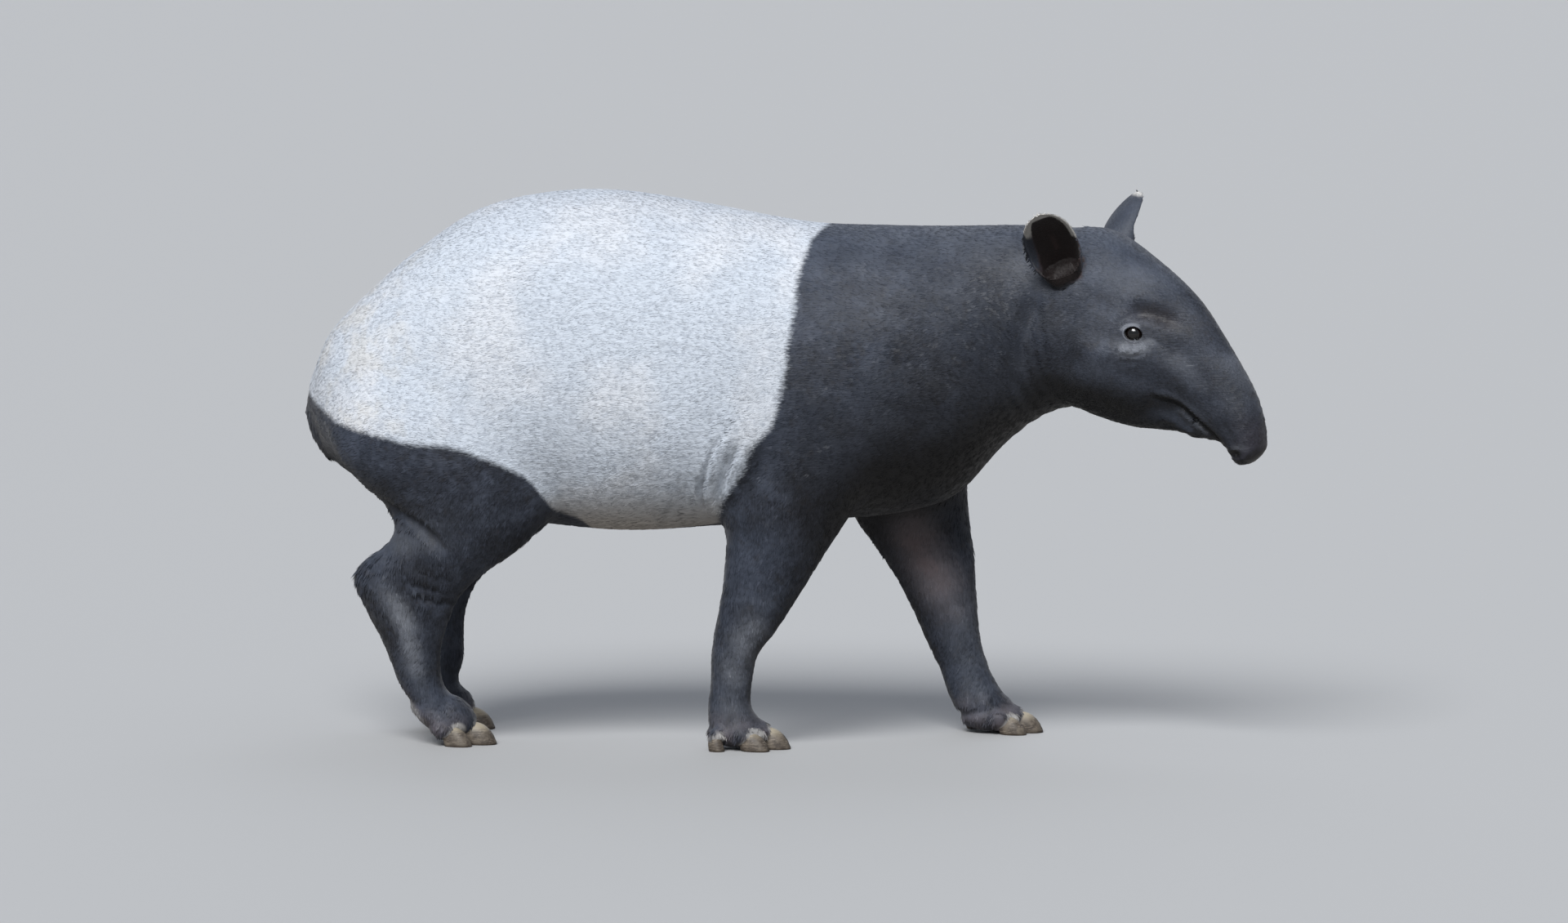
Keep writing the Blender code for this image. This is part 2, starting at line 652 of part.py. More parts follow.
def add_lids(head, side):
    """Lids round an almond opening, and the socket that the eyeball sits in."""
    at = Vector((EYE_AT[0], side * EYE_AT[1], EYE_AT[2]))
    look, long_way, up = eye_axes(side)
    boolean(head, ball("lids", at, [EYE_RADIUS + LID] * 3, rings=9), "UNION")
    half, tall = EYE_OPEN_LONG / 2, EYE_OPEN_TALL / 2
    outline = []
    for i in range(20):
        a = 2 * math.pi * i / 20
        outline.append((half * math.cos(a), tall * math.copysign(abs(math.sin(a)) ** 1.25, math.sin(a))))
    points = []
    for reach, wider in ((EYE_RADIUS * 0.2, 0.9), (EYE_RADIUS * 2, 1.15)):
        for u, v in outline:
            points.append(at + look * reach + long_way * u * wider + up * v * wider)
    n = len(outline)
    faces = [tuple(range(n)), tuple(range(n, 2 * n))]
    faces += [(i, (i + 1) % n, n + (i + 1) % n, n + i) for i in range(n)]
    slot = new_object("slot", points, faces)
    face_outwards(slot)
    boolean(head, slot, "DIFFERENCE")
    boolean(head, ball("socket", at, [EYE_RADIUS + 3 * GAP] * 3, rings=8), "DIFFERENCE")


def eyeball(name, side):
    at = Vector((EYE_AT[0], side * EYE_AT[1], EYE_AT[2]))
    return ball(name, at, [EYE_RADIUS] * 3, rings=8)


def cut_mouth(head):
    """The slit between the lips, across the whole muzzle."""
    path = through(MOUTH, 4)
    half = MOUTH_SLIT / 2
    points = []
    for i, (x, z) in enumerate(path):
        ahead = path[min(i + 1, len(path) - 1)] - path[max(i - 1, 0)]
        ahead /= np.linalg.norm(ahead)
        thick = half * min(1, 0.3 + i / 4)
        for y in (-0.09, 0.09):
            for side in (1, -1):
                points.append((x - side * thick * ahead[1], y, z + side * thick * ahead[0]))
    faces = []
    for i in range(len(path) - 1):
        a, b = 4 * i, 4 * i + 4
        for j, k in ((0, 1), (1, 3), (3, 2), (2, 0)):
            faces.append((a + j, a + k, b + k, b + j))
    last = 4 * (len(path) - 1)
    faces += [(0, 1, 3, 2), (last, last + 1, last + 3, last + 2)]
    slit = new_object("slit", points, faces)
    face_outwards(slit)
    boolean(head, slit, "DIFFERENCE")


def cut_nostrils(nose):
    for side in (1, -1):
        turn = Matrix.Rotation(math.radians(20), 3, "Y")
        hole = ball("nostril", (NOSTRIL[0], side * NOSTRIL[1], NOSTRIL[2]), (0.009, 0.010, 0.0055), turn, rings=8)
        boolean(nose, hole, "DIFFERENCE")


def part_off(rest, name, outline, x0, x1):
    """Cuts the piece inside the prism off the rest, with the gap between them."""
    piece = copied(rest, name)
    boolean(piece, prism("inside", outline, x0, x1), "INTERSECT")
    middle = np.mean(outline, axis=0)
    wider = []
    for y, z in outline:
        wider.append((y + math.copysign(GAP, y - middle[0]), z + math.copysign(GAP, z - middle[1])))
    boolean(rest, prism("outside", wider, x0 - GAP, x1 + GAP), "DIFFERENCE")
    keep_largest(piece)
    keep_largest(rest)
    return piece


def leg_outline(side, inner_height, outer_height):
    """Everything outward of the middle and below a line that rises outwards."""
    near = side * GAP
    return [(near, -0.05), (side * 0.5, -0.05), (side * 0.5, outer_height), (near, inner_height)]


def turn_head(obj, rigid=False):
    """Turns and leans the neck and head, each cross section staying flat.

    A rigid object moves as the head does, without the neck's bend.
    """
    points = coordinates(obj.data)
    stations = np.linspace(TURN_FROM, 1.4, 2000)
    turn = HEAD_TURN * step(stations, TURN_FROM, TURN_TO)
    pace = stations[1] - stations[0]
    along_x = TURN_FROM + np.concatenate([[0], np.cumsum(np.cos(turn[:-1]) * pace)])
    along_y = -np.concatenate([[0], np.cumsum(np.sin(turn[:-1]) * pace)])
    x, y, z = points.T
    share = np.ones(len(x)) if rigid else step(x, TURN_FROM, TURN_TO)
    lean = HEAD_LEAN * share
    up = z - LEAN_HEIGHT
    y, z = y * np.cos(lean) - up * np.sin(lean), LEAN_HEIGHT + up * np.cos(lean) + y * np.sin(lean)
    angle = HEAD_TURN * share
    ahead = np.maximum(x, TURN_TO) if rigid else x
    middle_x = np.where(ahead > TURN_FROM, np.interp(ahead, stations, along_x), x)
    middle_y = np.where(ahead > TURN_FROM, np.interp(ahead, stations, along_y), 0)
    middle_x += (x - ahead) * math.cos(HEAD_TURN)
    middle_y -= (x - ahead) * math.sin(HEAD_TURN)
    turned = np.stack([middle_x + y * np.sin(angle), middle_y + y * np.cos(angle), z], axis=1)
    above_legs = points[:, 2:] > LEGS_BELOW
    set_coordinates(obj.data, np.where(above_legs, turned, points))


def part_body(whole):
    """The whole body in named pieces, the head's cut from a finer copy."""
    nodes = {}
    body = thinned(whole, "torso", BODY_TRIANGLES)
    fine = thinned(whole, "fine", HEAD_TRIANGLES)
    bpy.data.objects.remove(whole, do_unlink=True)
    for word, side in (("right", -1), ("left", 1)):
        for limb, height, x0, x1 in (("hindleg", 0.262, -1.0, -0.3), ("foreleg", 0.215, -0.3, 1.0)):
            name = f"{limb}_lower_{word}"
            nodes[name] = part_off(body, name, leg_outline(side, height, height), x0, x1)
        name = "hindleg_upper_" + word
        nodes[name] = part_off(body, name, leg_outline(side, 0.345, 0.86), -0.95, -0.405)
        name = "foreleg_upper_" + word
        x0, x1 = (0.03, 0.395) if side > 0 else (-0.116, 0.215)
        nodes[name] = part_off(body, name, leg_outline(side, 0.375, 0.88), x0, x1)
    tall = [(-0.5, -0.1), (0.5, -0.1), (0.5, 1.3), (-0.5, 1.3)]
    nodes["head"] = part_off(fine, "head", tall, 0.545, 1.2)
    bpy.data.objects.remove(fine, do_unlink=True)
    bpy.data.objects.remove(part_off(body, "beyond", tall, 0.545 - GAP, 1.2), do_unlink=True)
    nodes["neck"] = part_off(body, "neck", tall, 0.395, 0.7)
    nodes["proboscis"] = part_off(nodes["head"], "proboscis", tall, 0.872, 1.2)
    low = [(-0.03, 0.50), (0.03, 0.50), (0.03, 0.660), (-0.03, 0.660)]
    nodes["tail"] = part_off(body, "tail", low, -1.1, -0.885)
    nodes["torso"] = body
    return nodes


def build():
    clear_scene()
    nodes = part_body(whole_body())
    head = nodes["head"]
    cut_mouth(head)
    for word, side in (("right", -1), ("left", 1)):
        add_lids(head, side)
        nodes["eye_" + word] = eyeball("eye_" + word, side)
    cut_nostrils(nodes["proboscis"])
    for foot in FEET:
        limb, word = foot.split("_")
        leg = nodes[f"{limb}leg_lower_{word}"]
        for toe in toes_of(foot):
            name = f"hoof_{foot}_{toe[0]}"
            boolean(leg, hoof("print", foot, toe, grow=GAP), "DIFFERENCE")
            nodes[name] = hoof(name, foot, toe)
        keep_largest(leg)
    finish(nodes)


def finish(nodes):
    """Turns the head, sets the ears, stands the body on the origin and gives each its material."""
    for obj in nodes.values():
        turn_head(obj)
    for word, side in (("right", -1), ("left", 1)):
        nodes["ear_" + word] = ear("ear_" + word, side)
        root = ear_print(side)
        turn_head(nodes["ear_" + word], rigid=True)
        turn_head(root, rigid=True)
        boolean(nodes["head"], root, "DIFFERENCE")
    keep_largest(nodes["head"])
    everything = np.vstack([coordinates(obj.data) for obj in nodes.values()])
    low, high = everything.min(axis=0), everything.max(axis=0)
    shift = np.array([(low[0] + high[0]) / 2, (low[1] + high[1]) / 2, low[2]])
    slate = material("slate_coat", "2B2D34", 0.72)
    white = material("white_coat", "C9C9CC", 0.80)
    horn = material("hoof_horn", "6A5B4C", 0.55)
    eye = material("eye_dark", "15100D", 0.08)
    for name, obj in nodes.items():
        set_coordinates(obj.data, coordinates(obj.data) - shift)
        obj.data.materials.clear()
        kind = horn if name.startswith("hoof") else eye if name.startswith("eye") else slate
        obj.data.materials.append(white if name == "torso" else kind)
        for polygon in obj.data.polygons:
            polygon.material_index = 0
        obj.data.shade_smooth()
        obj.data.set_sharp_from_angle(angle=math.radians(50))


build()
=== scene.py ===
"""The looks of a life-size Malayan tapir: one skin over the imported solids, short fur, eyes and hooves."""
import math

import bmesh
import bpy
import numpy as np
from mathutils import Matrix, Vector

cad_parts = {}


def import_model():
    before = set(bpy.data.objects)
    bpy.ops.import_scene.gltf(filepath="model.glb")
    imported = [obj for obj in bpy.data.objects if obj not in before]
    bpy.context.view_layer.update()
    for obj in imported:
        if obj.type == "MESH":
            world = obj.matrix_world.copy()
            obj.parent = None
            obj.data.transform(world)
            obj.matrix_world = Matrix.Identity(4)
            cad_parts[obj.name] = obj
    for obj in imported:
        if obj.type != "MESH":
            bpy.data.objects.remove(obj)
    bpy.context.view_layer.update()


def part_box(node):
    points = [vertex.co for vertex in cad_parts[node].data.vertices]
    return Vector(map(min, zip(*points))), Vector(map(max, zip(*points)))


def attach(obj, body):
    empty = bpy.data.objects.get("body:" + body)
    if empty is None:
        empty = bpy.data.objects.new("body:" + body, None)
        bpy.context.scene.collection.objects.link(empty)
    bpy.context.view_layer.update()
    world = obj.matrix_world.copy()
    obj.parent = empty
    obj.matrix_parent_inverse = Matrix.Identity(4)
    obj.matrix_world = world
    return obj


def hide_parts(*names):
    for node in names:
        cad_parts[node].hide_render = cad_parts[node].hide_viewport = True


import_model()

# The skin lies this far inside the solids, and its first mesh is this fine.
COAT_DEPTH = 0.002
VOXEL = 0.012
FOOT_VOXEL = 0.0042

# The neck turns to the right between these two stations, and the head leans a little that way.
TURN_FROM = 0.38
TURN_TO = 0.60
HEAD_TURN = math.radians(26)
HEAD_LEAN = math.radians(6)
LEAN_HEIGHT = 0.80
LEGS_BELOW = 0.45

# Rows of a body: upper or front point (x, z), lower or back point (x, z), y of the middle, half width.
TRUNK = (
    (-0.905, 0.700, -0.895, 0.600, 0, 0.060),
    (-0.870, 0.780, -0.865, 0.535, 0, 0.125),
    (-0.800, 0.855, -0.800, 0.490, 0, 0.180),
    (-0.700, 0.941, -0.700, 0.452, 0, 0.218),
    (-0.580, 1.019, -0.580, 0.432, 0, 0.240),
    (-0.440, 1.052, -0.440, 0.412, 0, 0.254),
    (-0.300, 1.054, -0.300, 0.402, 0, 0.263),
    (-0.120, 1.026, -0.120, 0.412, 0, 0.258),
    (0.050, 0.996, 0.050, 0.425, 0, 0.238),
    (0.200, 0.990, 0.205, 0.435, 0, 0.218),
    (0.320, 0.989, 0.330, 0.470, 0, 0.190),
    (0.420, 0.991, 0.415, 0.560, 0, 0.158),
    (0.520, 0.993, 0.490, 0.622, 0, 0.132),
    (0.600, 0.985, 0.570, 0.650, 0, 0.112),
)
SKULL = (
    (0.520, 0.975, 0.520, 0.660, 0, 0.112),
    (0.600, 0.996, 0.595, 0.640, 0, 0.118),
    (0.662, 0.982, 0.648, 0.626, 0, 0.117),
    (0.727, 0.940, 0.700, 0.618, 0, 0.107),
    (0.783, 0.898, 0.738, 0.628, 0, 0.090),
    (0.828, 0.855, 0.768, 0.643, 0, 0.075),
    (0.868, 0.799, 0.800, 0.640, 0, 0.063),
    (0.904, 0.743, 0.833, 0.617, 0, 0.054),
    (0.933, 0.692, 0.860, 0.594, 0, 0.048),
    (0.950, 0.641, 0.881, 0.572, 0, 0.044),
    (0.955, 0.588, 0.897, 0.549, 0, 0.041),
)
JAW = (
    (0.590, 0.740, 0.590, 0.634, 0, 0.080),
    (0.680, 0.715, 0.680, 0.612, 0, 0.074),
    (0.740, 0.690, 0.738, 0.608, 0, 0.060),
    (0.790, 0.660, 0.784, 0.603, 0, 0.046),
    (0.830, 0.636, 0.822, 0.598, 0, 0.037),
    (0.850, 0.620, 0.845, 0.597, 0, 0.028),
)
FORELEG_RIGHT = (
    (0.215, 0.720, 0.010, 0.770, -0.130, 0.070),
    (0.206, 0.600, -0.050, 0.640, -0.145, 0.082),
    (0.186, 0.520, -0.082, 0.540, -0.152, 0.082),
    (0.148, 0.455, -0.099, 0.465, -0.152, 0.076),
    (0.100, 0.385, -0.102, 0.388, -0.150, 0.066),
    (0.050, 0.306, -0.106, 0.310, -0.147, 0.056),
    (-0.002, 0.225, -0.121, 0.228, -0.144, 0.049),
    (-0.036, 0.180, -0.128, 0.182, -0.142, 0.045),
    (-0.047, 0.128, -0.130, 0.132, -0.140, 0.040),
    (-0.050, 0.085, -0.134, 0.085, -0.139, 0.041),
    (-0.034, 0.050, -0.134, 0.048, -0.139, 0.046),
)
FORELEG_LEFT = (
    (0.250, 0.740, 0.040, 0.760, 0.130, 0.070),
    (0.325, 0.615, 0.055, 0.620, 0.142, 0.080),
    (0.346, 0.520, 0.075, 0.520, 0.148, 0.080),
    (0.352, 0.450, 0.115, 0.430, 0.148, 0.074),
    (0.359, 0.380, 0.164, 0.362, 0.146, 0.064),
    (0.364, 0.311, 0.206, 0.302, 0.144, 0.055),
    (0.369, 0.241, 0.241, 0.234, 0.141, 0.049),
    (0.375, 0.180, 0.269, 0.172, 0.139, 0.045),
    (0.392, 0.126, 0.294, 0.119, 0.137, 0.040),
    (0.410, 0.090, 0.308, 0.080, 0.136, 0.042),
    (0.432, 0.060, 0.322, 0.048, 0.136, 0.047),
)
HINDLEG_RIGHT = (
    (-0.485, 0.800, -0.800, 0.740, -0.120, 0.090),
    (-0.425, 0.660, -0.858, 0.620, -0.138, 0.106),
    (-0.410, 0.560, -0.838, 0.545, -0.146, 0.106),
    (-0.418, 0.476, -0.792, 0.497, -0.150, 0.097),
    (-0.450, 0.408, -0.735, 0.440, -0.152, 0.082),
    (-0.502, 0.366, -0.738, 0.398, -0.152, 0.068),
    (-0.562, 0.326, -0.786, 0.361, -0.150, 0.057),
    (-0.605, 0.283, -0.811, 0.319, -0.143, 0.051),
    (-0.628, 0.233, -0.790, 0.262, -0.136, 0.047),
    (-0.642, 0.186, -0.762, 0.205, -0.128, 0.042),
    (-0.644, 0.139, -0.742, 0.154, -0.120, 0.040),
    (-0.634, 0.104, -0.729, 0.116, -0.115, 0.043),
    (-0.614, 0.070, -0.708, 0.086, -0.112, 0.046),
)
# The left hind leg repeats the right one, moved ahead by so much at each height.
HIND_AHEAD = ((0.06, -0.030), (0.105, -0.008), (0.145, 0.016), (0.20, 0.012), (0.26, 0.0))
TAIL = (
    (-0.872, 0.690, -0.850, 0.650, 0, 0.022),
    (-0.906, 0.676, -0.876, 0.645, 0, 0.024),
    (-0.923, 0.640, -0.883, 0.622, 0, 0.022),
    (-0.921, 0.600, -0.884, 0.596, 0, 0.019),
    (-0.906, 0.560, -0.876, 0.556, 0, 0.015),
    (-0.888, 0.528, -0.868, 0.530, 0, 0.009),
)

# Feet: place of the leg's middle on the floor, heading, and how far the heel is raised.
FEET = {
    "fore_right": (-0.083, -0.139, -4, 0),
    "fore_left": (0.388, 0.136, 2, 0),
    "hind_right": (-0.668, -0.110, -2, 34),
    "hind_left": (-0.698, 0.110, 2, 34),
}
# Toes: name, forward, outward, hoof length, width and height, and outward turn in degrees.
FORE_TOES = (
    ("middle", 0.078, -0.004, 0.060, 0.044, 0.040, 0),
    ("inner", 0.050, -0.041, 0.052, 0.035, 0.034, -14),
    ("outer", 0.046, 0.038, 0.056, 0.037, 0.035, 12),
    ("small", -0.026, 0.052, 0.030, 0.025, 0.033, 20),
)
HIND_TOES = (
    ("middle", 0.098, 0.000, 0.062, 0.045, 0.042, 0),
    ("inner", 0.060, -0.038, 0.052, 0.035, 0.036, -14),
    ("outer", 0.060, 0.038, 0.054, 0.036, 0.036, 14),
)
SOLE_CLEAR = 0.0025

# The eye: middle of the ball, radius, lid thickness, and the lids' opening.
EYE_AT = (0.727, 0.0765, 0.803)
EYE_RADIUS = 0.0195
LID = 0.0032
EYE_OPEN_LONG = 0.035
EYE_OPEN_TALL = 0.0255
EYE_TILT = math.radians(-12)

# The ear: base, tip, the way its cup faces, half width and depth of the cup, wall.
EAR_BASE = (0.592, 0.080, 0.898)
EAR_TIP = (0.586, 0.178, 1.044)
# The left ear is turned a little further forward: its base and tip move ahead, and its tip drops.
LEFT_EAR_AHEAD = (0.009, 0.021)
LEFT_EAR_DROP = 0.009
EAR_FACES = (0.50, 0.84, -0.20)
EAR_HALF_WIDTH = 0.052
EAR_DEPTH = 0.036
EAR_WALL = 0.0055

# The mouth: its corner, two points on the way and the lips' front. The nostril: its middle.
MOUTH = ((0.762, 0.678), (0.798, 0.668), (0.832, 0.639), (0.875, 0.594))
NOSTRIL = (0.909, 0.031, 0.573)

# Markings, as places in the side view. The white saddle ends in front along x for each height,
# and below along z for each place from the rump to the flank.
FRONT_EDGE = ((0.36, -0.220), (0.405, -0.215), (0.425, -0.120), (0.47, -0.104), (0.535, -0.062),
              (0.575, -0.046), (0.625, -0.008), (0.68, 0.008), (0.75, 0.022), (0.83, 0.032), (0.90, 0.040),
              (0.96, 0.058), (1.02, 0.110), (1.10, 0.120))
REAR_EDGE = ((-0.94, 0.680), (-0.92, 0.668), (-0.875, 0.640), (-0.825, 0.618), (-0.76, 0.602), (-0.68, 0.585),
             (-0.60, 0.577), (-0.55, 0.560), (-0.50, 0.537), (-0.465, 0.512), (-0.445, 0.486),
             (-0.425, 0.458), (-0.375, 0.430), (-0.33, 0.300), (-0.28, 0.260))

# Creases, as paths in the side view with their depth and width.
FACE_CREASES = (
    (((0.700, 0.776), (0.722, 0.764), (0.748, 0.764), (0.764, 0.774)), 0.0020, 0.0040),
    (((0.694, 0.768), (0.720, 0.752), (0.752, 0.752)), 0.0012, 0.0045),
    (((0.704, 0.824), (0.724, 0.838), (0.748, 0.836)), 0.0018, 0.0045),
    (((0.757, 0.798), (0.772, 0.792), (0.790, 0.776)), 0.0020, 0.0045),
)
ELBOW_FOLDS = (
    (((-0.058, 0.611), (-0.080, 0.554), (-0.097, 0.506), (-0.103, 0.470)), 0.0048, 0.0036),
    (((-0.052, 0.669), (-0.094, 0.611), (-0.120, 0.564), (-0.135, 0.515), (-0.138, 0.470), (-0.128, 0.445)),
     0.0055, 0.0050),
    (((-0.166, 0.520), (-0.178, 0.470), (-0.190, 0.430)), 0.0030, 0.0080),
)
# Between the creases the skin stands out in two rounded lobes.
ELBOW_LOBES = (
    (((-0.028, 0.635), (-0.058, 0.562), (-0.080, 0.518), (-0.095, 0.462)), 0.0090, 0.0240),
    (((-0.065, 0.645), (-0.102, 0.569), (-0.117, 0.515), (-0.119, 0.450)), 0.0085, 0.0230),
)
STIFLE_FOLDS = (
    (((-0.765, 0.482), (-0.702, 0.444), (-0.662, 0.420), (-0.634, 0.392)), 0.0085, 0.0080),
    (((-0.702, 0.320), (-0.668, 0.305), (-0.629, 0.296)), 0.0040, 0.0055),
    (((-0.691, 0.289), (-0.652, 0.280), (-0.618, 0.274)), 0.0055, 0.0055),
    (((-0.690, 0.345), (-0.655, 0.330), (-0.610, 0.322)), 0.0022, 0.0060),
    (((-0.400, 0.470), (-0.420, 0.430), (-0.460, 0.405)), 0.0040, 0.0110),
)

# Where the limbs and the neck's sides meet the trunk: a middle and a spread.
LIMB_JOINS = (
    ((0.13, 0.20, 0.62), (0.22, 0.14, 0.20)),
    ((-0.60, 0.22, 0.66), (0.28, 0.14, 0.22)),
    ((-0.42, 0.14, 0.44), (0.10, 0.16, 0.08)),
    ((-0.80, 0.10, 0.55), (0.10, 0.12, 0.10)),
    ((-0.70, 0.15, 0.41), (0.07, 0.12, 0.05)),
    ((0.36, 0.08, 0.50), (0.12, 0.14, 0.10)),
    ((-0.10, 0.14, 0.46), (0.08, 0.14, 0.08)),
)
# Swellings, and hollows with a height below zero, on both sides: a height, a middle and a spread.
MUSCLES = (
    # Shoulder blade, point of the shoulder, and the hollow behind the arm.
    (0.010, (0.20, 0.20, 0.74), (0.12, 0.10, 0.16)),
    (0.010, (0.33, 0.15, 0.62), (0.07, 0.08, 0.09)),
    (-0.007, (-0.02, 0.25, 0.66), (0.05, 0.10, 0.14)),
    # Hollow of the flank, hip and thigh.
    (-0.008, (-0.37, 0.25, 0.56), (0.06, 0.10, 0.12)),
    (0.006, (-0.48, 0.20, 0.92), (0.08, 0.10, 0.06)),
    (0.008, (-0.62, 0.25, 0.58), (0.12, 0.10, 0.12)),
    # Cheek and cheekbone.
    (0.010, (0.645, 0.11, 0.715), (0.060, 0.05, 0.065)),
    (0.006, (0.715, 0.10, 0.770), (0.045, 0.04, 0.018)),
)
# Ridges and hollows of the face: a height, a path in the side view, and a width.
FACE_RIDGES = (
    (0.004, ((0.720, 0.862), (0.752, 0.872), (0.790, 0.852)), 0.016),
    (0.004, ((0.700, 0.758), (0.660, 0.770), (0.620, 0.800)), 0.020),
    (-0.004, ((0.700, 0.735), (0.735, 0.722), (0.770, 0.728)), 0.018),
    (0.004, ((0.770, 0.765), (0.800, 0.735), (0.830, 0.695)), 0.022),
    (-0.004, ((0.800, 0.790), (0.835, 0.745), (0.868, 0.690)), 0.016),
)
# Painted shade: where the coat is painted darker for the shade that falls there, on both sides: a share, a
# middle and a spread.
PAINTED_SHADE_PLACES = (
    (0.34, (0.640, 0.11, 0.680), (0.110, 0.12, 0.055)),
    (0.36, (0.330, 0.16, 0.640), (0.150, 0.16, 0.120)),
    (0.34, (0.120, 0.22, 0.500), (0.160, 0.16, 0.090)),
    (0.34, (0.385, 0.14, 0.840), (0.100, 0.18, 0.110)),
    (0.14, (0.480, 0.14, 0.860), (0.120, 0.16, 0.110)),
    (0.16, (0.560, 0.14, 0.740), (0.110, 0.16, 0.070)),
)


def new_object(name, points, faces):
    mesh = bpy.data.meshes.new(name)
    mesh.from_pydata([tuple(p) for p in points], [], faces)
    made = bpy.data.objects.new(name, mesh)
    bpy.context.scene.collection.objects.link(made)
    return made


def face_outwards(obj):
    bm = bmesh.new()
    bm.from_mesh(obj.data)
    bmesh.ops.recalc_face_normals(bm, faces=bm.faces)
    bm.to_mesh(obj.data)
    bm.free()


def apply_modifiers(obj):
    graph = bpy.context.evaluated_depsgraph_get()
    made = bpy.data.meshes.new_from_object(obj.evaluated_get(graph), depsgraph=graph)
    obj.modifiers.clear()
    old = obj.data
    obj.data = made
    bpy.data.meshes.remove(old)


def through(rows, steps):
    """Rows read off a smooth curve through the given rows."""
    rows = np.array(rows, float)
    ends = np.vstack([2 * rows[0] - rows[1], rows, 2 * rows[-1] - rows[-2]])
    found = []
    for i in range(len(rows) - 1):
        a, b, c, d = ends[i:i + 4]
        for t in np.arange(steps) / steps:
            found.append(0.5 * (2 * b + (c - a) * t + (2 * a - 5 * b + 4 * c - d) * t ** 2
                                + (3 * b - a - 3 * c + d) * t ** 3))
    return np.array(found + [rows[-1]])


def ring(row, sides, square, egg):
    """One cross section: an oval from the row's first point to its second, narrower at the first."""
    x1, z1, x2, z2, y, half = row
    angle = np.linspace(0, 2 * np.pi, sides, endpoint=False)
    along = np.sign(np.cos(angle)) * np.abs(np.cos(angle)) ** (2 / square)
    across = np.sign(np.sin(angle)) * np.abs(np.sin(angle)) ** (2 / square)
    across = across * (1 - egg * along)
    return np.stack([(x1 + x2) / 2 + along * (x1 - x2) / 2,
                     y + half * across,
                     (z1 + z2) / 2 + along * (z1 - z2) / 2], axis=1)


def bridged(name, rings):
    """A closed body through rings of points, with a flat end at each side."""
    sides = len(rings[0])
    points = np.vstack(rings)
    faces = []
    for i in range(len(rings) - 1):
        for j in range(sides):
            k = (j + 1) % sides
            a, b = i * sides, (i + 1) * sides
            faces.append((a + j, a + k, b + k))
            faces.append((a + j, b + k, b + j))
    faces.append(tuple(range(sides))[::-1])
    faces.append(tuple(range(len(points) - sides, len(points))))
    made = new_object(name, points, faces)
    face_outwards(made)
    return made


def loft(name, rows, sides=32, steps=5, square=2.2, egg=0.0, start_cap=0.02, end_cap=0.02):
    """A closed body through the rows' cross sections, with a domed end at each side."""
    rings = [ring(row, sides, square, egg) for row in through(rows, steps)]
    for end, inner, cap in ((0, 1, start_cap), (-1, -2, end_cap)):
        middle = rings[end].mean(axis=0)
        out = middle - rings[inner].mean(axis=0)
        out /= np.linalg.norm(out)
        dome = [middle + (rings[end] - middle) * math.cos(a) + out * cap * math.sin(a)
                for a in np.radians([28, 54, 74])]
        rings = dome[::-1] + rings if end == 0 else rings + dome
    return bridged(name, rings)


def ball(name, middle, radii, turn=Matrix.Identity(3), rings=12):
    """An ellipsoid with its radii along the turned axes."""
    bm = bmesh.new()
    bmesh.ops.create_uvsphere(bm, u_segments=2 * rings, v_segments=rings, radius=1)
    for v in bm.verts:
        v.co = turn @ Vector([c * r for c, r in zip(v.co, radii)]) + Vector(middle)
    mesh = bpy.data.meshes.new(name)
    bm.to_mesh(mesh)
    bm.free()
    made = bpy.data.objects.new(name, mesh)
    bpy.context.scene.collection.objects.link(made)
    return made


def boolean(obj, other, operation, solver="EXACT"):
    """Cuts or joins obj with the other object, which is then removed."""
    step = obj.modifiers.new("Boolean", "BOOLEAN")
    step.operation = operation
    step.solver = solver
    step.object = other
    apply_modifiers(obj)
    bpy.data.objects.remove(other, do_unlink=True)


def keep_largest(obj):
    """Leaves only the object's largest closed surface."""
    bm = bmesh.new()
    bm.from_mesh(obj.data)
    left = set(bm.verts)
    pieces = []
    while left:
        stack = [left.pop()]
        piece = set(stack)
        while stack:
            for edge in stack.pop().link_edges:
                for v in edge.verts:
                    if v not in piece:
                        piece.add(v)
                        stack.append(v)
        left -= piece
        pieces.append(piece)
    pieces.sort(key=len)
    for piece in pieces[:-1]:
        bmesh.ops.delete(bm, geom=list(piece), context="VERTS")
    bm.to_mesh(obj.data)
    bm.free()


def join(objects, name):
    """One object holding the meshes of all of them, not yet fused."""
    bm = bmesh.new()
    for obj in objects:
        bm.from_mesh(obj.data)
    mesh = bpy.data.meshes.new(name)
    bm.to_mesh(mesh)
    bm.free()
    for obj in objects:
        bpy.data.objects.remove(obj, do_unlink=True)
    made = bpy.data.objects.new(name, mesh)
    bpy.context.scene.collection.objects.link(made)
    return made


def coordinates(mesh):
    found = np.empty(len(mesh.vertices) * 3)
    mesh.vertices.foreach_get("co", found)
    return found.reshape(-1, 3)


def set_coordinates(mesh, points):
    mesh.vertices.foreach_set("co", points.ravel())
    mesh.update()


def normals(mesh):
    found = np.empty(len(mesh.vertices) * 3)
    mesh.vertex_normals.foreach_get("vector", found)
    return found.reshape(-1, 3)


def relax(mesh, amount, rounds, push_back=0.0):
    """Draws each point toward the middle of its neighbours, by its own amount from 0 to 1.

    push_back gives part of each round back, which keeps thin shapes from shrinking.
    """
    ends = np.empty(len(mesh.edges) * 2, dtype=np.int64)
    mesh.edges.foreach_get("vertices", ends)
    ends = ends.reshape(-1, 2)
    one, other = np.hstack([ends[:, 0], ends[:, 1]]), np.hstack([ends[:, 1], ends[:, 0]])
    count = np.maximum(np.bincount(one, minlength=len(mesh.vertices)), 1)[:, None]
    points = coordinates(mesh)
    amount = np.broadcast_to(amount, len(points))[:, None]
    for _ in range(rounds):
        for pull in (amount, -push_back * amount) if push_back else (amount,):
            mean = np.stack([np.bincount(one, weights=points[other, i], minlength=len(points))
                             for i in range(3)], axis=1) / count
            points = points + pull * (mean - points)
    set_coordinates(mesh, points)


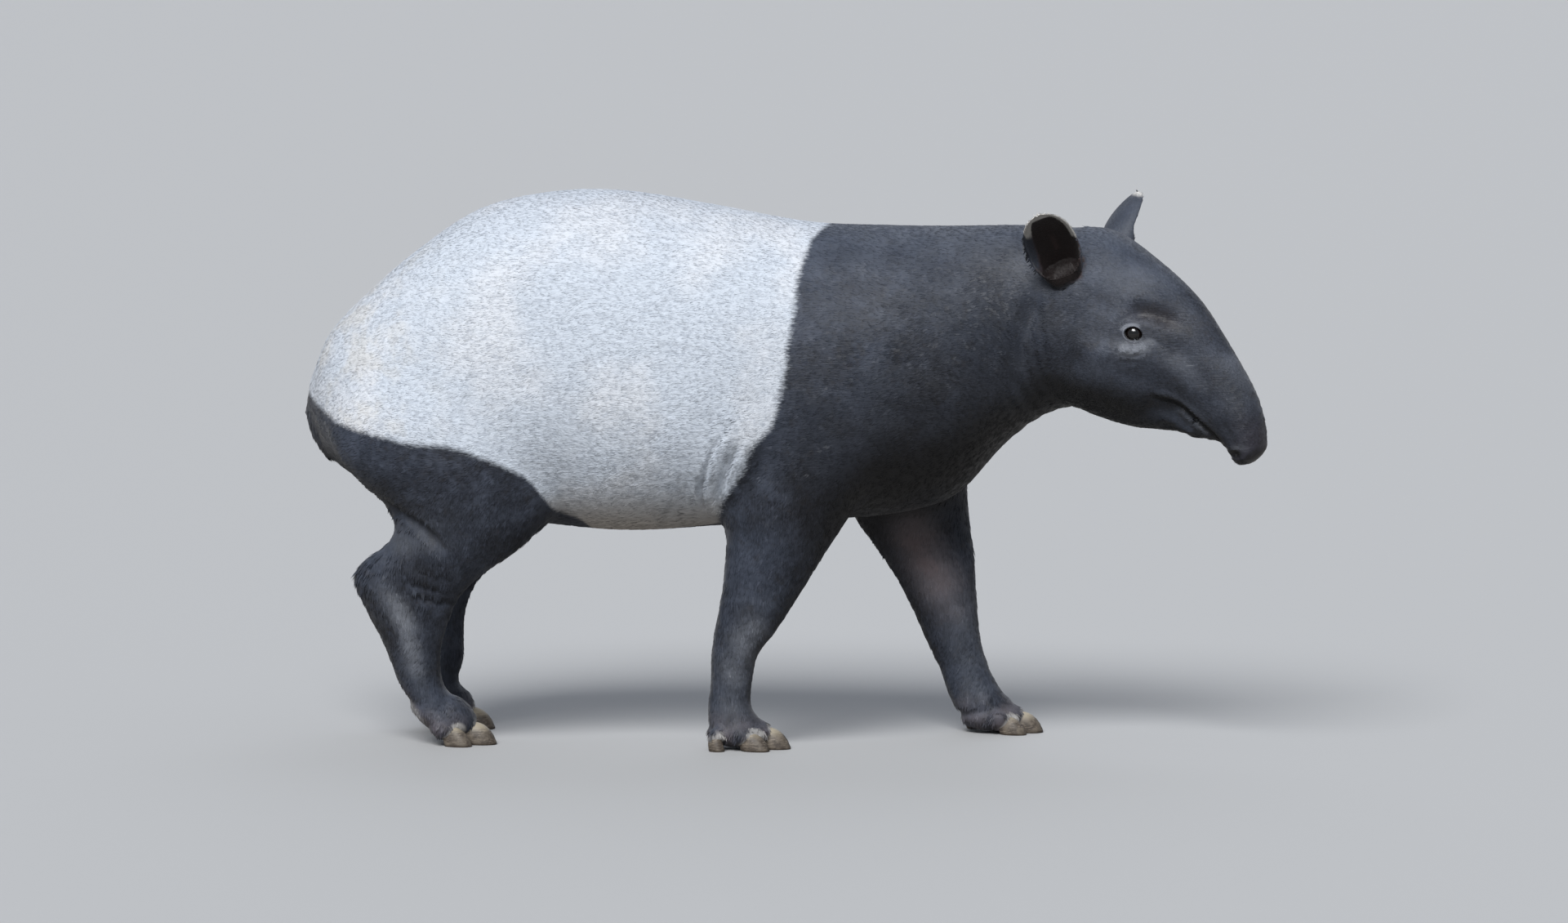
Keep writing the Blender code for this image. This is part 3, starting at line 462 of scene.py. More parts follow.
def bump(points, middle, radii):
    """1 at the middle, falling smoothly to nothing a little past the radii."""
    away = (points - np.array(middle)) / np.array(radii)
    return np.exp(-(away ** 2).sum(axis=1))


def both_sides(points, middle, radii):
    x, y, z = middle
    return bump(points, (x, y, z), radii) + bump(points, (x, -y, z), radii)


def near_path(points, path, width):
    """1 on a path in the side view, given as (x, z) points, fading over its width and at its ends."""
    flat = points[:, [0, 2]]
    best = np.full(len(flat), 1e9)
    place = np.zeros(len(flat))
    path = through(path, 6)
    for i in range(len(path) - 1):
        a, b = path[i], path[i + 1]
        t = np.clip(((flat - a) @ (b - a)) / ((b - a) @ (b - a)), 0, 1)
        away = np.linalg.norm(flat - a - t[:, None] * (b - a), axis=1)
        nearer = away < best
        best[nearer] = away[nearer]
        place[nearer] = (i + t[nearer]) / (len(path) - 1)
    ends = np.clip(place / 0.2, 0, 1) * np.clip((1 - place) / 0.2, 0, 1)
    return np.exp(-(best / width) ** 2) * (0.25 + 0.75 * ends)


def step(value, low, high):
    """0 below low, 1 above high, smooth between."""
    t = np.clip((value - low) / (high - low), 0, 1)
    return t * t * (3 - 2 * t)


def foot_frame(name):
    """Turn and place of a foot, with outward along its second axis."""
    x, y, heading, heel = FEET[name]
    outward = 1 if y > 0 else -1
    turn = Matrix.Rotation(math.radians(heading), 3, "Z") @ Matrix.Diagonal((1, outward, 1))
    return turn, Vector((x, y, 0)), math.radians(heel)


def toes_of(name):
    return FORE_TOES if name.startswith("fore") else HIND_TOES


def foot_flesh(name):
    """The sole's pad and the toes behind the hooves."""
    turn, place, heel = foot_frame(name)
    hinge = Vector((0.045, 0, 0.012))
    tip = Matrix.Rotation(heel, 3, "Y")
    pad_at = hinge + tip @ (Vector((-0.003 if heel else 0.010, 0, 0.030)) - hinge)
    pad = ball("pad_" + name, place + turn @ pad_at, (0.065, 0.052, 0.030), turn @ tip)
    bridge_at = hinge + tip @ (Vector((0.016 if heel else 0.004, 0, 0.047)) - hinge)
    bridge_long = 0.056 if heel else 0.046
    bridge = ball("bridge_" + name, place + turn @ bridge_at, (bridge_long, 0.043, 0.037), turn @ tip)
    made = [pad, bridge]
    for toe, forward, outward, length, width, height, splay in toes_of(name):
        back = (0.60 if forward > 0 else 0.12) * length
        spin = Matrix.Rotation(math.radians(splay), 3, "Z") @ Matrix.Rotation(0.25 + heel * 0.4, 3, "Y")
        at = Vector((forward - back, outward * 0.94, height * 0.86 + 0.2 * heel * back))
        radii = (0.52 * length, 0.58 * width, 0.62 * height)
        made.append(ball(f"toe_{name}_{toe}", place + turn @ at, radii, turn @ spin))
    return made


def ear_ends(side):
    """The base and the tip of one ear."""
    base = Vector((EAR_BASE[0], side * EAR_BASE[1], EAR_BASE[2]))
    tip = Vector((EAR_TIP[0], side * EAR_TIP[1], EAR_TIP[2]))
    if side > 0:
        base.x += LEFT_EAR_AHEAD[0]
        tip += Vector((LEFT_EAR_AHEAD[1], 0, -LEFT_EAR_DROP))
    return base, tip


def ear_rings(side, low, high, count, thin=0.0, lips=0.0, around=11):
    """Rings of the leaf from low to high along its length, thin inside its outer skin.

    Each ring runs round the back of the leaf from one rim to the other; lips carries both rims
    forward, for a cutter that reaches out of the cup.
    """
    base, tip = ear_ends(side)
    facing = Vector((EAR_FACES[0], side * EAR_FACES[1], EAR_FACES[2]))
    up = (tip - base).normalized()
    length = (tip - base).length
    facing = (facing - up * facing.dot(up)).normalized()
    across = up.cross(facing)
    rings = []
    for v in np.linspace(low, high, count):
        leaf = min(max(v, 0.0), 0.995)
        half = max(EAR_HALF_WIDTH * float(leaf_width(leaf)) - thin, 0.004)
        depth = max(EAR_DEPTH * float(leaf_depth(leaf)) - thin, 0.003)
        reach = math.radians(152 - 74 * step(leaf, 0.06, 0.50))
        middle = base + up * length * v + facing * 0.012 * leaf ** 2
        points = []
        for angle in np.linspace(-reach, reach, around):
            points.append(middle + across * half * math.sin(angle) - facing * depth * math.cos(angle))
        if lips:
            points = [points[0] + facing * lips] + points + [points[-1] + facing * lips]
        rings.append(points)
    return rings


def hind_rows(side):
    """The hind leg's rows, on the left moved ahead or back by its own step."""
    heights, moves = zip(*HIND_AHEAD)
    rows = []
    for x1, z1, x2, z2, y, half in HINDLEG_RIGHT:
        ahead = float(np.interp((z1 + z2) / 2, heights, moves)) if side > 0 else 0
        rows.append((x1 + ahead, z1, x2 + ahead, z2, y * -side, half))
    return rows


def legs(first_fore, first_hind):
    """The four legs, from the given rows down."""
    return [
        loft("foreleg_right", FORELEG_RIGHT[first_fore:], end_cap=0.02),
        loft("foreleg_left", FORELEG_LEFT[first_fore:], end_cap=0.02),
        loft("hindleg_right", hind_rows(-1)[first_hind:], square=2.1, end_cap=0.02),
        loft("hindleg_left", hind_rows(1)[first_hind:], square=2.1, end_cap=0.02),
    ]


def fused_with_feet(masses, name, spacing):
    """The masses and the feet's flesh as one closed surface, with its points this far apart."""
    for foot in FEET:
        masses += foot_flesh(foot)
    made = join(masses, name)
    fuse = made.modifiers.new("Fuse", "REMESH")
    fuse.mode = "VOXEL"
    fuse.voxel_size = spacing
    apply_modifiers(made)
    return made


def whole_body():
    """The straight body, fused into one closed surface and smoothed where its masses meet."""
    masses = [
        loft("trunk", TRUNK, sides=44, square=2.25, egg=0.10, start_cap=0.012, end_cap=0.02),
        loft("skull", SKULL, square=2.15, egg=0.16, end_cap=0.016),
        loft("jaw", JAW, square=2.3, egg=-0.05, end_cap=0.008),
        *legs(0, 0),
        loft("tail", TAIL, sides=16, square=2, start_cap=0.01, end_cap=0.006),
    ]
    body = fused_with_feet(masses, "body", VOXEL)
    keep_largest(body)
    blend(body.data)
    return body


def blend(mesh):
    """Softens the creases between the masses, most where the limbs meet the trunk."""
    points = coordinates(mesh)
    joins = np.zeros(len(points))
    for middle, spread in LIMB_JOINS:
        joins += both_sides(points, middle, spread)
    joins += bump(points, (0.55, 0, 0.80), (0.10, 0.30, 0.30))
    rounds = int(round(34 * (0.0085 / VOXEL) ** 2))
    relax(mesh, np.clip(0.9 * joins - 0.05, 0, 0.6), rounds)
    relax(mesh, 0.5, 6, push_back=1.02)


def sculpt(mesh):
    """Muscles, hollows and skin folds that the plain masses lack."""
    points = coordinates(mesh)
    out = normals(mesh)
    height = np.zeros(len(points))
    for high, middle, spread in MUSCLES:
        height += high * both_sides(points, middle, spread)
    # The brow, the cheekbone, and the hollows before and behind the eye.
    brow = near_path(points, ((0.722, 0.850), (0.768, 0.841), (0.820, 0.818)), 0.014)
    height -= 0.0095 * brow * step(np.abs(points[:, 1]), 0.030, 0.055)
    for high, path, wide in FACE_RIDGES:
        height += high * near_path(points, path, wide)
    height -= 0.006 * both_sides(points, (0.665, 0.10, 0.865), (0.040, 0.05, 0.040))
    # The neck's fold behind the jaw, and the folds of skin behind the elbow.
    fold = near_path(points, ((0.548, 0.880), (0.500, 0.783), (0.478, 0.690)), 0.022)
    crease = near_path(points, ((0.540, 0.865), (0.497, 0.790), (0.482, 0.720)), 0.009)
    height -= (0.007 * fold + 0.003 * crease) * step(np.abs(points[:, 1]), 0.03, 0.07)
    height += 0.006 * near_path(points, ((0.590, 0.850), (0.560, 0.770), (0.552, 0.700)), 0.030)
    elbow = near_path(points, ((-0.082, 0.575), (-0.102, 0.515), (-0.120, 0.452)), 0.011)
    second = near_path(points, ((-0.132, 0.520), (-0.152, 0.450)), 0.010)
    height -= (0.007 * elbow + 0.005 * second) * step(np.abs(points[:, 1]), 0.18, 0.22)
    # Thigh above the calf, and the groove along the hock.
    groove = near_path(points, ((-0.690, 0.432), (-0.650, 0.398), (-0.620, 0.372)), 0.012)
    height -= 0.006 * groove * step(np.abs(points[:, 1]), 0.15, 0.19)
    points = points + out * height[:, None]
    points[:, 2] = np.maximum(points[:, 2], SOLE_CLEAR)
    set_coordinates(mesh, points)


def eye_axes(side):
    """The way an eye looks, the way its opening runs, and up."""
    look = Vector((0.34, side * 0.93, 0.12)).normalized()
    along = Vector((0, 0, 1)).cross(look).normalized() * side
    up = look.cross(along).normalized() * side
    long_way = along * -1 * math.cos(EYE_TILT) + up * math.sin(EYE_TILT)
    return look, long_way, look.cross(long_way).normalized()


def turned(points, rigid=False):
    """Where points of the straight body lie once the neck turns and the head leans.

    Rigid points move as the head does, without the neck's bend.
    """
    stations = np.linspace(TURN_FROM, 1.4, 2000)
    turn = HEAD_TURN * step(stations, TURN_FROM, TURN_TO)
    pace = stations[1] - stations[0]
    along_x = TURN_FROM + np.concatenate([[0], np.cumsum(np.cos(turn[:-1]) * pace)])
    along_y = -np.concatenate([[0], np.cumsum(np.sin(turn[:-1]) * pace)])
    x, y, z = points.T
    share = np.ones(len(x)) if rigid else step(x, TURN_FROM, TURN_TO)
    lean = HEAD_LEAN * share
    up = z - LEAN_HEIGHT
    y, z = y * np.cos(lean) - up * np.sin(lean), LEAN_HEIGHT + up * np.cos(lean) + y * np.sin(lean)
    angle = HEAD_TURN * share
    ahead = np.maximum(x, TURN_TO) if rigid else x
    middle_x = np.where(ahead > TURN_FROM, np.interp(ahead, stations, along_x), x)
    middle_y = np.where(ahead > TURN_FROM, np.interp(ahead, stations, along_y), 0)
    middle_x += (x - ahead) * math.cos(HEAD_TURN)
    middle_y -= (x - ahead) * math.sin(HEAD_TURN)
    found = np.stack([middle_x + y * np.sin(angle), middle_y + y * np.cos(angle), z], axis=1)
    return np.where(points[:, 2:] > LEGS_BELOW, found, points)


def kept_rigid(points):
    """Where points of the straight body must lie for the neck's bend to carry them as one rigid piece."""
    middle = np.array([[0.80, 0.0, 0.80]])
    frame_turn = (turned(middle + np.eye(3), True) - turned(middle, True)).T
    target = turned(points, rigid=True)
    found = points.copy()
    for _ in range(14):
        found = found + (target - turned(found)) @ frame_turn
    return found


def refine(obj, inside):
    """Halves the mesh's spacing over the faces whose middles lie inside."""
    bm = bmesh.new()
    bm.from_mesh(obj.data)
    centres = np.array([f.calc_center_median() for f in bm.faces])
    edges = set()
    for face, chosen in zip(bm.faces, inside(centres)):
        if chosen:
            edges.update(face.edges)
    bmesh.ops.subdivide_edges(bm, edges=list(edges), cuts=1, use_grid_fill=True)
    bm.to_mesh(obj.data)
    bm.free()


def away(points, middle):
    """How far points lie from the middle or from its mirror image on the other side."""
    x, y, z = middle
    one = np.linalg.norm(points - np.array((x, y, z)), axis=1)
    other = np.linalg.norm(points - np.array((x, -y, z)), axis=1)
    return np.minimum(one, other)


def on_head(points):
    return (points[:, 0] > 0.55) & (points[:, 2] > 0.5)


def on_detail(points):
    """Folds, feet, neck and face, which need a finer mesh than the broad body."""
    feet = points[:, 2] < 0.108
    elbow = away(points, (-0.11, 0.22, 0.52)) < 0.09
    knee = away(points, (-0.67, 0.17, 0.40)) < 0.075
    hock = (points[:, 2] < 0.35) & (points[:, 2] > 0.25) & (points[:, 0] < -0.5)
    neck_and_head = (points[:, 0] > 0.53) & (points[:, 2] > 0.5)
    return feet | elbow | knee | neck_and_head | hock


def on_face(points):
    face = away(points, (0.740, 0.08, 0.80)) < 0.056
    muzzle = (points[:, 0] > 0.750) & (points[:, 2] < 0.71)
    folds = (away(points, (-0.115, 0.22, 0.52)) < 0.064) | (away(points, (-0.66, 0.17, 0.40)) < 0.05)
    soles = points[:, 2] < 0.050
    return face | (muzzle & on_head(points)) | soles | folds


def on_eye(points):
    eye = away(points, EYE_AT) < 0.036
    nostril = away(points, NOSTRIL) < 0.022
    mouth = near_path(points, MOUTH, 0.010) > 0.35
    return eye | nostril | (mouth & on_head(points))


def fit_feet(body):
    """Draws the feet's skin onto a finely built copy, so that the toes and pads stay apart."""
    fine = fused_with_feet(legs(5, 6), "fine_feet", FOOT_VOXEL)
    relax(fine.data, 0.5, 10, push_back=1.02)
    points = coordinates(body.data)
    weights = 1 - step(points[:, 2], 0.085, 0.125)
    group = body.vertex_groups.new(name="Feet")
    for i in np.nonzero(weights > 0.001)[0]:
        group.add([int(i)], float(weights[i]), "REPLACE")
    wrap = body.modifiers.new("Wrap", "SHRINKWRAP")
    wrap.target = fine
    wrap.vertex_group = "Feet"
    apply_modifiers(body)
    bpy.data.objects.remove(fine, do_unlink=True)
    body.vertex_groups.clear()
    relax(body.data, np.where(coordinates(body.data)[:, 2] < 0.14, 0.4, 0.0), 2)


def shaped_skin():
    """The whole body's skin, straight, with its folds, lids, lips, nostrils and ears."""
    body = whole_body()
    refine(body, on_detail)
    relax(body.data, 0.5, 2, push_back=1.02)
    refine(body, on_face)
    relax(body.data, np.where(on_detail(coordinates(body.data)), 0.5, 0.0), 3, push_back=1.02)
    fit_feet(body)
    refine(body, on_eye)
    relax(body.data, np.where(on_face(coordinates(body.data)), 0.5, 0.0), 2, push_back=1.02)
    sculpt(body.data)
    wrinkle(body.data)
    swell_lids(body.data)
    inset(body.data, COAT_DEPTH)
    for side in (-1, 1):
        open_eye(body, side)
        add_ear(body, side)
    keep_largest(body)
    smooth_rims(body.data)
    return body


def inset(mesh, depth):
    points = coordinates(mesh)
    points = points - normals(mesh) * depth
    points[:, 2] = np.maximum(points[:, 2], SOLE_CLEAR)
    set_coordinates(mesh, points)


def wrinkle(mesh):
    """Fine folds and low relief over the whole skin."""
    points = coordinates(mesh)
    height = np.zeros(len(points))
    for add_folds in (fold_face, fold_flank, fold_neck, raise_muscles):
        add_folds(points, height)
    set_coordinates(mesh, points + normals(mesh) * height[:, None])


def fold_face(points, height):
    """Rings of the proboscis, lips, creases round the eyes, and nostrils."""
    x, y, z = points.T
    head = step(x, 0.57, 0.62) * step(z, 0.50, 0.52)
    # Rings across the proboscis, close and shallow, fading up the face.
    along = (x - 0.80) * 0.72 - (z - 0.70) * 0.69
    wave = np.sin(along * 2 * math.pi / 0.0155 + 2.2 * np.sin(y * 60) + 1.5 * np.sin(z * 31))
    height += 0.0003 * wave * head * step(along, 0.04, 0.13) * (z > 0.545)
    # The mouth: a groove between the lips, the upper lip standing over it, a fold at the corner.
    mouth = near_path(points, MOUTH, 0.0046)
    height -= 0.0085 * mouth * head * step(np.abs(y), 0.004, 0.012)
    lip = near_path(points, [(mx - 0.001, mz + 0.012) for mx, mz in MOUTH], 0.009)
    height += 0.0042 * lip * head
    low_lip = near_path(points, [(mx - 0.006, mz - 0.011) for mx, mz in MOUTH[1:]], 0.008)
    height += 0.0040 * low_lip * head
    chin = near_path(points, ((0.800, 0.606), (0.826, 0.594), (0.858, 0.594)), 0.015)
    height += 0.0050 * chin * head
    height -= 0.0040 * near_path(points, ((0.758, 0.626), (0.772, 0.618), (0.788, 0.612)), 0.009) * head
    corner = near_path(points, ((0.742, 0.650), (0.756, 0.668), (0.764, 0.690)), 0.006)
    height -= 0.0024 * corner * head
    # Creases under the eye and before it, and above the lids.
    for path, deep, wide in FACE_CREASES:
        height -= deep * near_path(points, path, wide) * head * step(np.abs(y), 0.03, 0.05)
    # The proboscis meets the upper lip behind the nostril, and each nostril is a rimmed slit.
    behind = near_path(points, ((0.884, 0.640), (0.905, 0.600), (0.912, 0.566)), 0.008)
    height -= 0.0026 * behind * head * step(np.abs(y), 0.018, 0.03)
    slit = both_sides(points, NOSTRIL, (0.0100, 0.011, 0.0062))
    rim = both_sides(points, NOSTRIL, (0.019, 0.019, 0.015))
    height += 0.0050 * rim - 0.0160 * slit


def fold_flank(points, height):
    """Skin folds at the elbow, on the flank and at the stifle."""
    x, y, z = points.T
    flank = step(np.abs(y), 0.11, 0.16)
    for path, deep, wide in ELBOW_FOLDS:
        height -= deep * near_path(points, path, wide) * flank
    for path, high, wide in ELBOW_LOBES:
        height += high * near_path(points, path, wide) * flank
    knee = step(np.abs(y), 0.10, 0.15)
    for path, deep, wide in STIFLE_FOLDS:
        height -= deep * near_path(points, path, wide) * knee
    ripples = np.sin(x * 2 * math.pi / 0.021 + 6 * z)
    height += 0.0013 * (ripples * both_sides(points, (-0.16, 0.22, 0.47), (0.06, 0.1, 0.06)))


def fold_neck(points, height):
    """A soft fold down the neck behind the ear and the cheek, and soft rings down the throat."""
    x, y, z = points.T
    nape = near_path(points, ((0.532, 0.890), (0.484, 0.804), (0.459, 0.727), (0.498, 0.666)), 0.016)
    height -= 0.0050 * nape * step(np.abs(y), 0.04, 0.07)
    throat = step(x, 0.42, 0.46) * (1 - step(x, 0.56, 0.60)) * step(z, 0.5, 0.55)
    rings = np.sin((x + 0.18 * z) * 2 * math.pi / 0.034 + 3 * np.sin(z * 9))
    height += 0.0007 * rings * throat * (1 - 0.6 * step(z, 0.75, 0.9))


def raise_muscles(points, height):
    """Muscle and bone under the skin of the limbs."""
    arm = near_path(points, ((0.03, 0.60), (-0.02, 0.50), (-0.05, 0.40)), 0.030)
    height += 0.004 * arm * step(np.abs(points[:, 1]), 0.11, 0.16)
    height += 0.003 * near_path(points, ((-0.780, 0.330), (-0.745, 0.260), (-0.715, 0.180)), 0.014)
    height += 0.003 * near_path(points, ((-0.690, 0.250), (-0.675, 0.180), (-0.668, 0.120)), 0.012)


def eye_place(side):
    return Vector((EYE_AT[0], side * EYE_AT[1], EYE_AT[2]))


def swell_lids(mesh):
    """Raises the skin over the eyeballs, so that the lids lie on them."""
    points = coordinates(mesh)
    for side in (-1, 1):
        look, long_way, up = [np.array(v) for v in eye_axes(side)]
        local = points - np.array(eye_place(side))
        w = local @ look
        flat = np.hypot(local @ long_way, local @ up)
        reach = EYE_RADIUS + LID
        cap = np.sqrt(np.maximum(reach ** 2 - np.minimum(flat, 0.82 * reach) ** 2, 0))
        cap = cap - 1.2 * np.maximum(flat - 0.82 * reach, 0)
        soft = 0.0022
        raised = soft * np.logaddexp(w / soft, cap / soft)
        near = (flat < 2.2 * reach) & (w > -0.012)
        points[near] += (raised - w)[near, None] * look
    set_coordinates(mesh, points)


def open_eye(body, side):
    """The almond opening between the lids, and the socket behind it."""
    at = eye_place(side)
    look, long_way, up = eye_axes(side)
    half, tall = EYE_OPEN_LONG / 2, EYE_OPEN_TALL / 2
    outline = []
    for i in range(72):
        a = 2 * math.pi * i / 72
        v = tall * math.copysign(abs(math.sin(a)) ** 1.2, math.sin(a))
        outline.append((half * math.cos(a), v * (1.06 if v > 0 else 0.94)))
    points = []
    for reach, wider in ((EYE_RADIUS * 0.25, 0.86), (EYE_RADIUS * 1.9, 1.12)):
        for u, v in outline:
            points.append(at + look * reach + long_way * u * wider + up * v * wider)
    n = len(outline)
    faces = [tuple(range(n)), tuple(range(n, 2 * n))]
    faces += [(i, (i + 1) % n, n + (i + 1) % n, n + i) for i in range(n)]
    slot = new_object("slot", points, faces)
    face_outwards(slot)
    boolean(body, slot, "DIFFERENCE", "MANIFOLD")
    boolean(body, ball("socket", at, [EYE_RADIUS + 0.0004] * 3, rings=28), "DIFFERENCE", "MANIFOLD")


def add_ear(body, side):
    """Fuses a finely built ear to the skin."""
    made = bridged("ear", ear_rings(side, -0.16, 0.992, 40, thin=COAT_DEPTH * 0.5, around=41))
    cup = bridged("cup", ear_rings(side, 0.17, 1.05, 40, thin=EAR_WALL * 0.80, lips=0.05, around=41))
    boolean(made, cup, "DIFFERENCE", "MANIFOLD")
    keep_largest(made)
    relax(made.data, 0.4, 3, push_back=1.0)
    points = coordinates(made.data)
    set_coordinates(made.data, kept_rigid(points))
    face_outwards(made)
    boolean(body, made, "UNION", "MANIFOLD")


def smooth_rims(mesh):
    """Softens the cut edges of the lids and the ears' roots."""
    points = coordinates(mesh)
    lids = away(points, EYE_AT)
    amount = np.where(lids < 0.030, 0.35, 0.0)
    root = away(points, EAR_BASE)
    amount = np.maximum(amount, 0.45 * (1 - step(root, 0.055, 0.085)) * step(root, 0.020, 0.034))
    relax(mesh, amount, 3)


# The lie of the coat, the markings, the dusty patches and the painted light and shade, all told in places on
# the straight body.

def towards(points, x, y, z):
    return np.tile(np.array((x, y, z), dtype=float), (len(points), 1))


def hair_lie(points, out):
    """Unit directions of the coat along the skin."""
    x, y, z = points.T
    side = np.sign(y)
    lie = towards(points, -1.0, 0, -0.22)
    limb = legs_share(points)[:, None]
    down = np.stack([-0.18 * np.ones(len(x)), 0 * x, -np.ones(len(x))], axis=1)
    lie = lie * (1 - limb) + down * limb
    head = (step(x, 0.60, 0.70) * step(z, 0.50, 0.52))[:, None]
    face = np.stack([-0.80 * np.ones(len(x)), 0.25 * side, 0.42 + 0 * x], axis=1)
    lie = lie * (1 - head) + face * head
    tail = ((x < -0.865) & (np.abs(y) < 0.035) & (z < 0.68))[:, None]
    lie = np.where(tail, towards(points, -0.1, 0, -1), lie)
    ear = ears_share(points)[:, None]
    base, tip = ear_ends_near(points)
    lie = lie * (1 - ear) + (tip - base) / np.linalg.norm(tip - base, axis=1)[:, None] * ear
    lie = lie - out * (lie * out).sum(axis=1)[:, None]
    return lie / np.maximum(np.linalg.norm(lie, axis=1), 1e-9)[:, None]


def legs_share(points):
    x, y, z = points.T
    fore = step(-z, -0.62, -0.42) * step(np.abs(y), 0.03, 0.07) * step(x, -0.16, -0.10)
    hind = step(-z, -0.60, -0.38) * step(np.abs(y), 0.03, 0.07) * step(-x, 0.40, 0.46)
    return np.clip(fore + hind + step(-z, -0.40, -0.36), 0, 1)


def ear_ends_near(points):
    """For each point, the base and the tip of the ear on its side."""
    left = points[:, 1:2] > 0
    base, tip = [np.where(left, np.array(a), np.array(b)) for a, b in zip(ear_ends(1), ear_ends(-1))]
    return base, tip


def ear_place(points):
    """How far along its ear each point lies, how far across, and how far in front of the leaf."""
    side = np.where(points[:, 1] > 0, 1.0, -1.0)
    base, tip = ear_ends_near(points)
    face = np.array(EAR_FACES) * np.stack([np.ones(len(side)), side, np.ones(len(side))], axis=1)
    up = tip - base
    length = np.linalg.norm(up, axis=1)[:, None]
    up = up / length
    face = face - up * (face * up).sum(axis=1)[:, None]
    face /= np.linalg.norm(face, axis=1)[:, None]
    across = np.cross(up, face)
    local = points - base
    return ((local * up).sum(axis=1) / length[:, 0], (local * across).sum(axis=1), (local * face).sum(axis=1))


def ears_share(points):
    """1 on the ears, 0 off them."""
    v, across, ahead = ear_place(points)
    inside = (v > 0.02) & (v < 1.1) & (np.abs(across) < EAR_HALF_WIDTH * 1.05)
    inside &= (ahead > -EAR_DEPTH * 1.1) & (ahead < 0.03) & (points[:, 0] < 0.70)
    return step(v, 0.03, 0.16) * inside


def ragged(points, scale, seed):
    """Smooth noise from -1 to 1 made of a few crossing waves."""
    rng = np.random.default_rng(seed)
    total = np.zeros(len(points))
    for _ in range(9):
        way = rng.normal(size=3)
        total += np.sin(points @ (way / scale) + rng.uniform(0, 6.28))
    return np.clip(total / 4.2, -1, 1)


def marks(points, out):
    """Colour masks at each point: pale dusty hair with painted light, brown, dark wet skin with painted
    shade, and white rims.
    """
    masks = np.zeros((4, len(points)))
    patchy, mottle, fine = (0.5 + 0.5 * ragged(points, size, seed)
                            for size, seed in ((0.030, 3), (0.019, 7), (0.011, 4)))
    mark_dust_and_highlights(points, masks, patchy, mottle, fine)
    mark_dirt_and_painted_light(points, out, masks, patchy, mottle, fine)
    for side in (-1, 1):
        mark_eye(points, masks, side, fine)
    mark_ears(points, out, masks, fine)
    mark_folds(points, masks)
    mark_feet(points, masks, mottle, fine)
    return np.clip(masks.T, 0, 1)


def mark_dust_and_highlights(points, masks, patchy, mottle, fine):
    """Dried mud on the shins, cannons and feet, a paler bloom on the face and shoulder, and a painted
    highlight along the lower lip.
    """
    x, _, z = points.T
    dust_and_painted_light = masks[0]
    cannon = near_path(points, ((-0.745, 0.305), (-0.708, 0.238), (-0.696, 0.182), (-0.686, 0.120)), 0.018)
    dust_and_painted_light += 0.95 * cannon * (0.25 + 0.75 * mottle)
    dust_and_painted_light += 0.50 * both_sides(points, (-0.748, 0.12, 0.298), (0.022, 0.06, 0.024)) * (0.4 + 0.6 * mottle)
    dust_and_painted_light += 0.30 * near_path(points, ((-0.72, 0.36), (-0.68, 0.40), (-0.60, 0.42)), 0.045) * mottle
    shin = near_path(points, ((-0.033, 0.270), (-0.056, 0.211), (-0.080, 0.141), (-0.082, 0.050)), 0.030)
    dust_and_painted_light += 0.62 * shin * (0.25 + 0.75 * mottle)
    far_shin = near_path(points, ((0.33, 0.30), (0.345, 0.20), (0.370, 0.08)), 0.032)
    dust_and_painted_light += 0.25 * far_shin * (0.35 + 0.65 * mottle)
    dust_and_painted_light += 0.14 * mottle * patchy * step(z, 0.45, 0.75) * step(x, -0.02, 0.1)
    dust_and_painted_light += 0.85 * near_path(points, ((0.708, 0.784), (0.722, 0.778), (0.744, 0.777), (0.762, 0.785)), 0.0120)
    bridge = near_path(points, ((0.884, 0.760), (0.912, 0.715), (0.935, 0.661)), 0.026)
    dust_and_painted_light += 0.30 * bridge * (0.3 + 0.7 * mottle)
    cheek = near_path(points, ((0.790, 0.775), (0.815, 0.740), (0.838, 0.700)), 0.020)
    dust_and_painted_light += 0.26 * cheek * (0.3 + 0.7 * mottle)
    dust_and_painted_light += 0.30 * (1 - step(z, 0.03, 0.11)) * fine
    dust_and_painted_light += 0.22 * both_sides(points, (0.760, 0.080, 0.790), (0.020, 0.03, 0.014)) * (0.6 + 0.4 * fine)
    over_nostril = (NOSTRIL[0] + 0.006, NOSTRIL[1], NOSTRIL[2] + 0.013)
    dust_and_painted_light += 0.50 * both_sides(points, over_nostril, (0.013, 0.02, 0.006))
    dust_and_painted_light += 0.10 * near_path(points, [(mx, mz + 0.012) for mx, mz in MOUTH], 0.008)
    # Painted highlight along the lower lip, under the mouth's crease.
    dust_and_painted_light += 0.28 * near_path(points, [(mx - 0.006, mz - 0.012) for mx, mz in MOUTH[1:]], 0.007)
    dust_and_painted_light += 0.10 * patchy * step(z, 0.60, 0.95) * step(x, 0.10, 0.2)


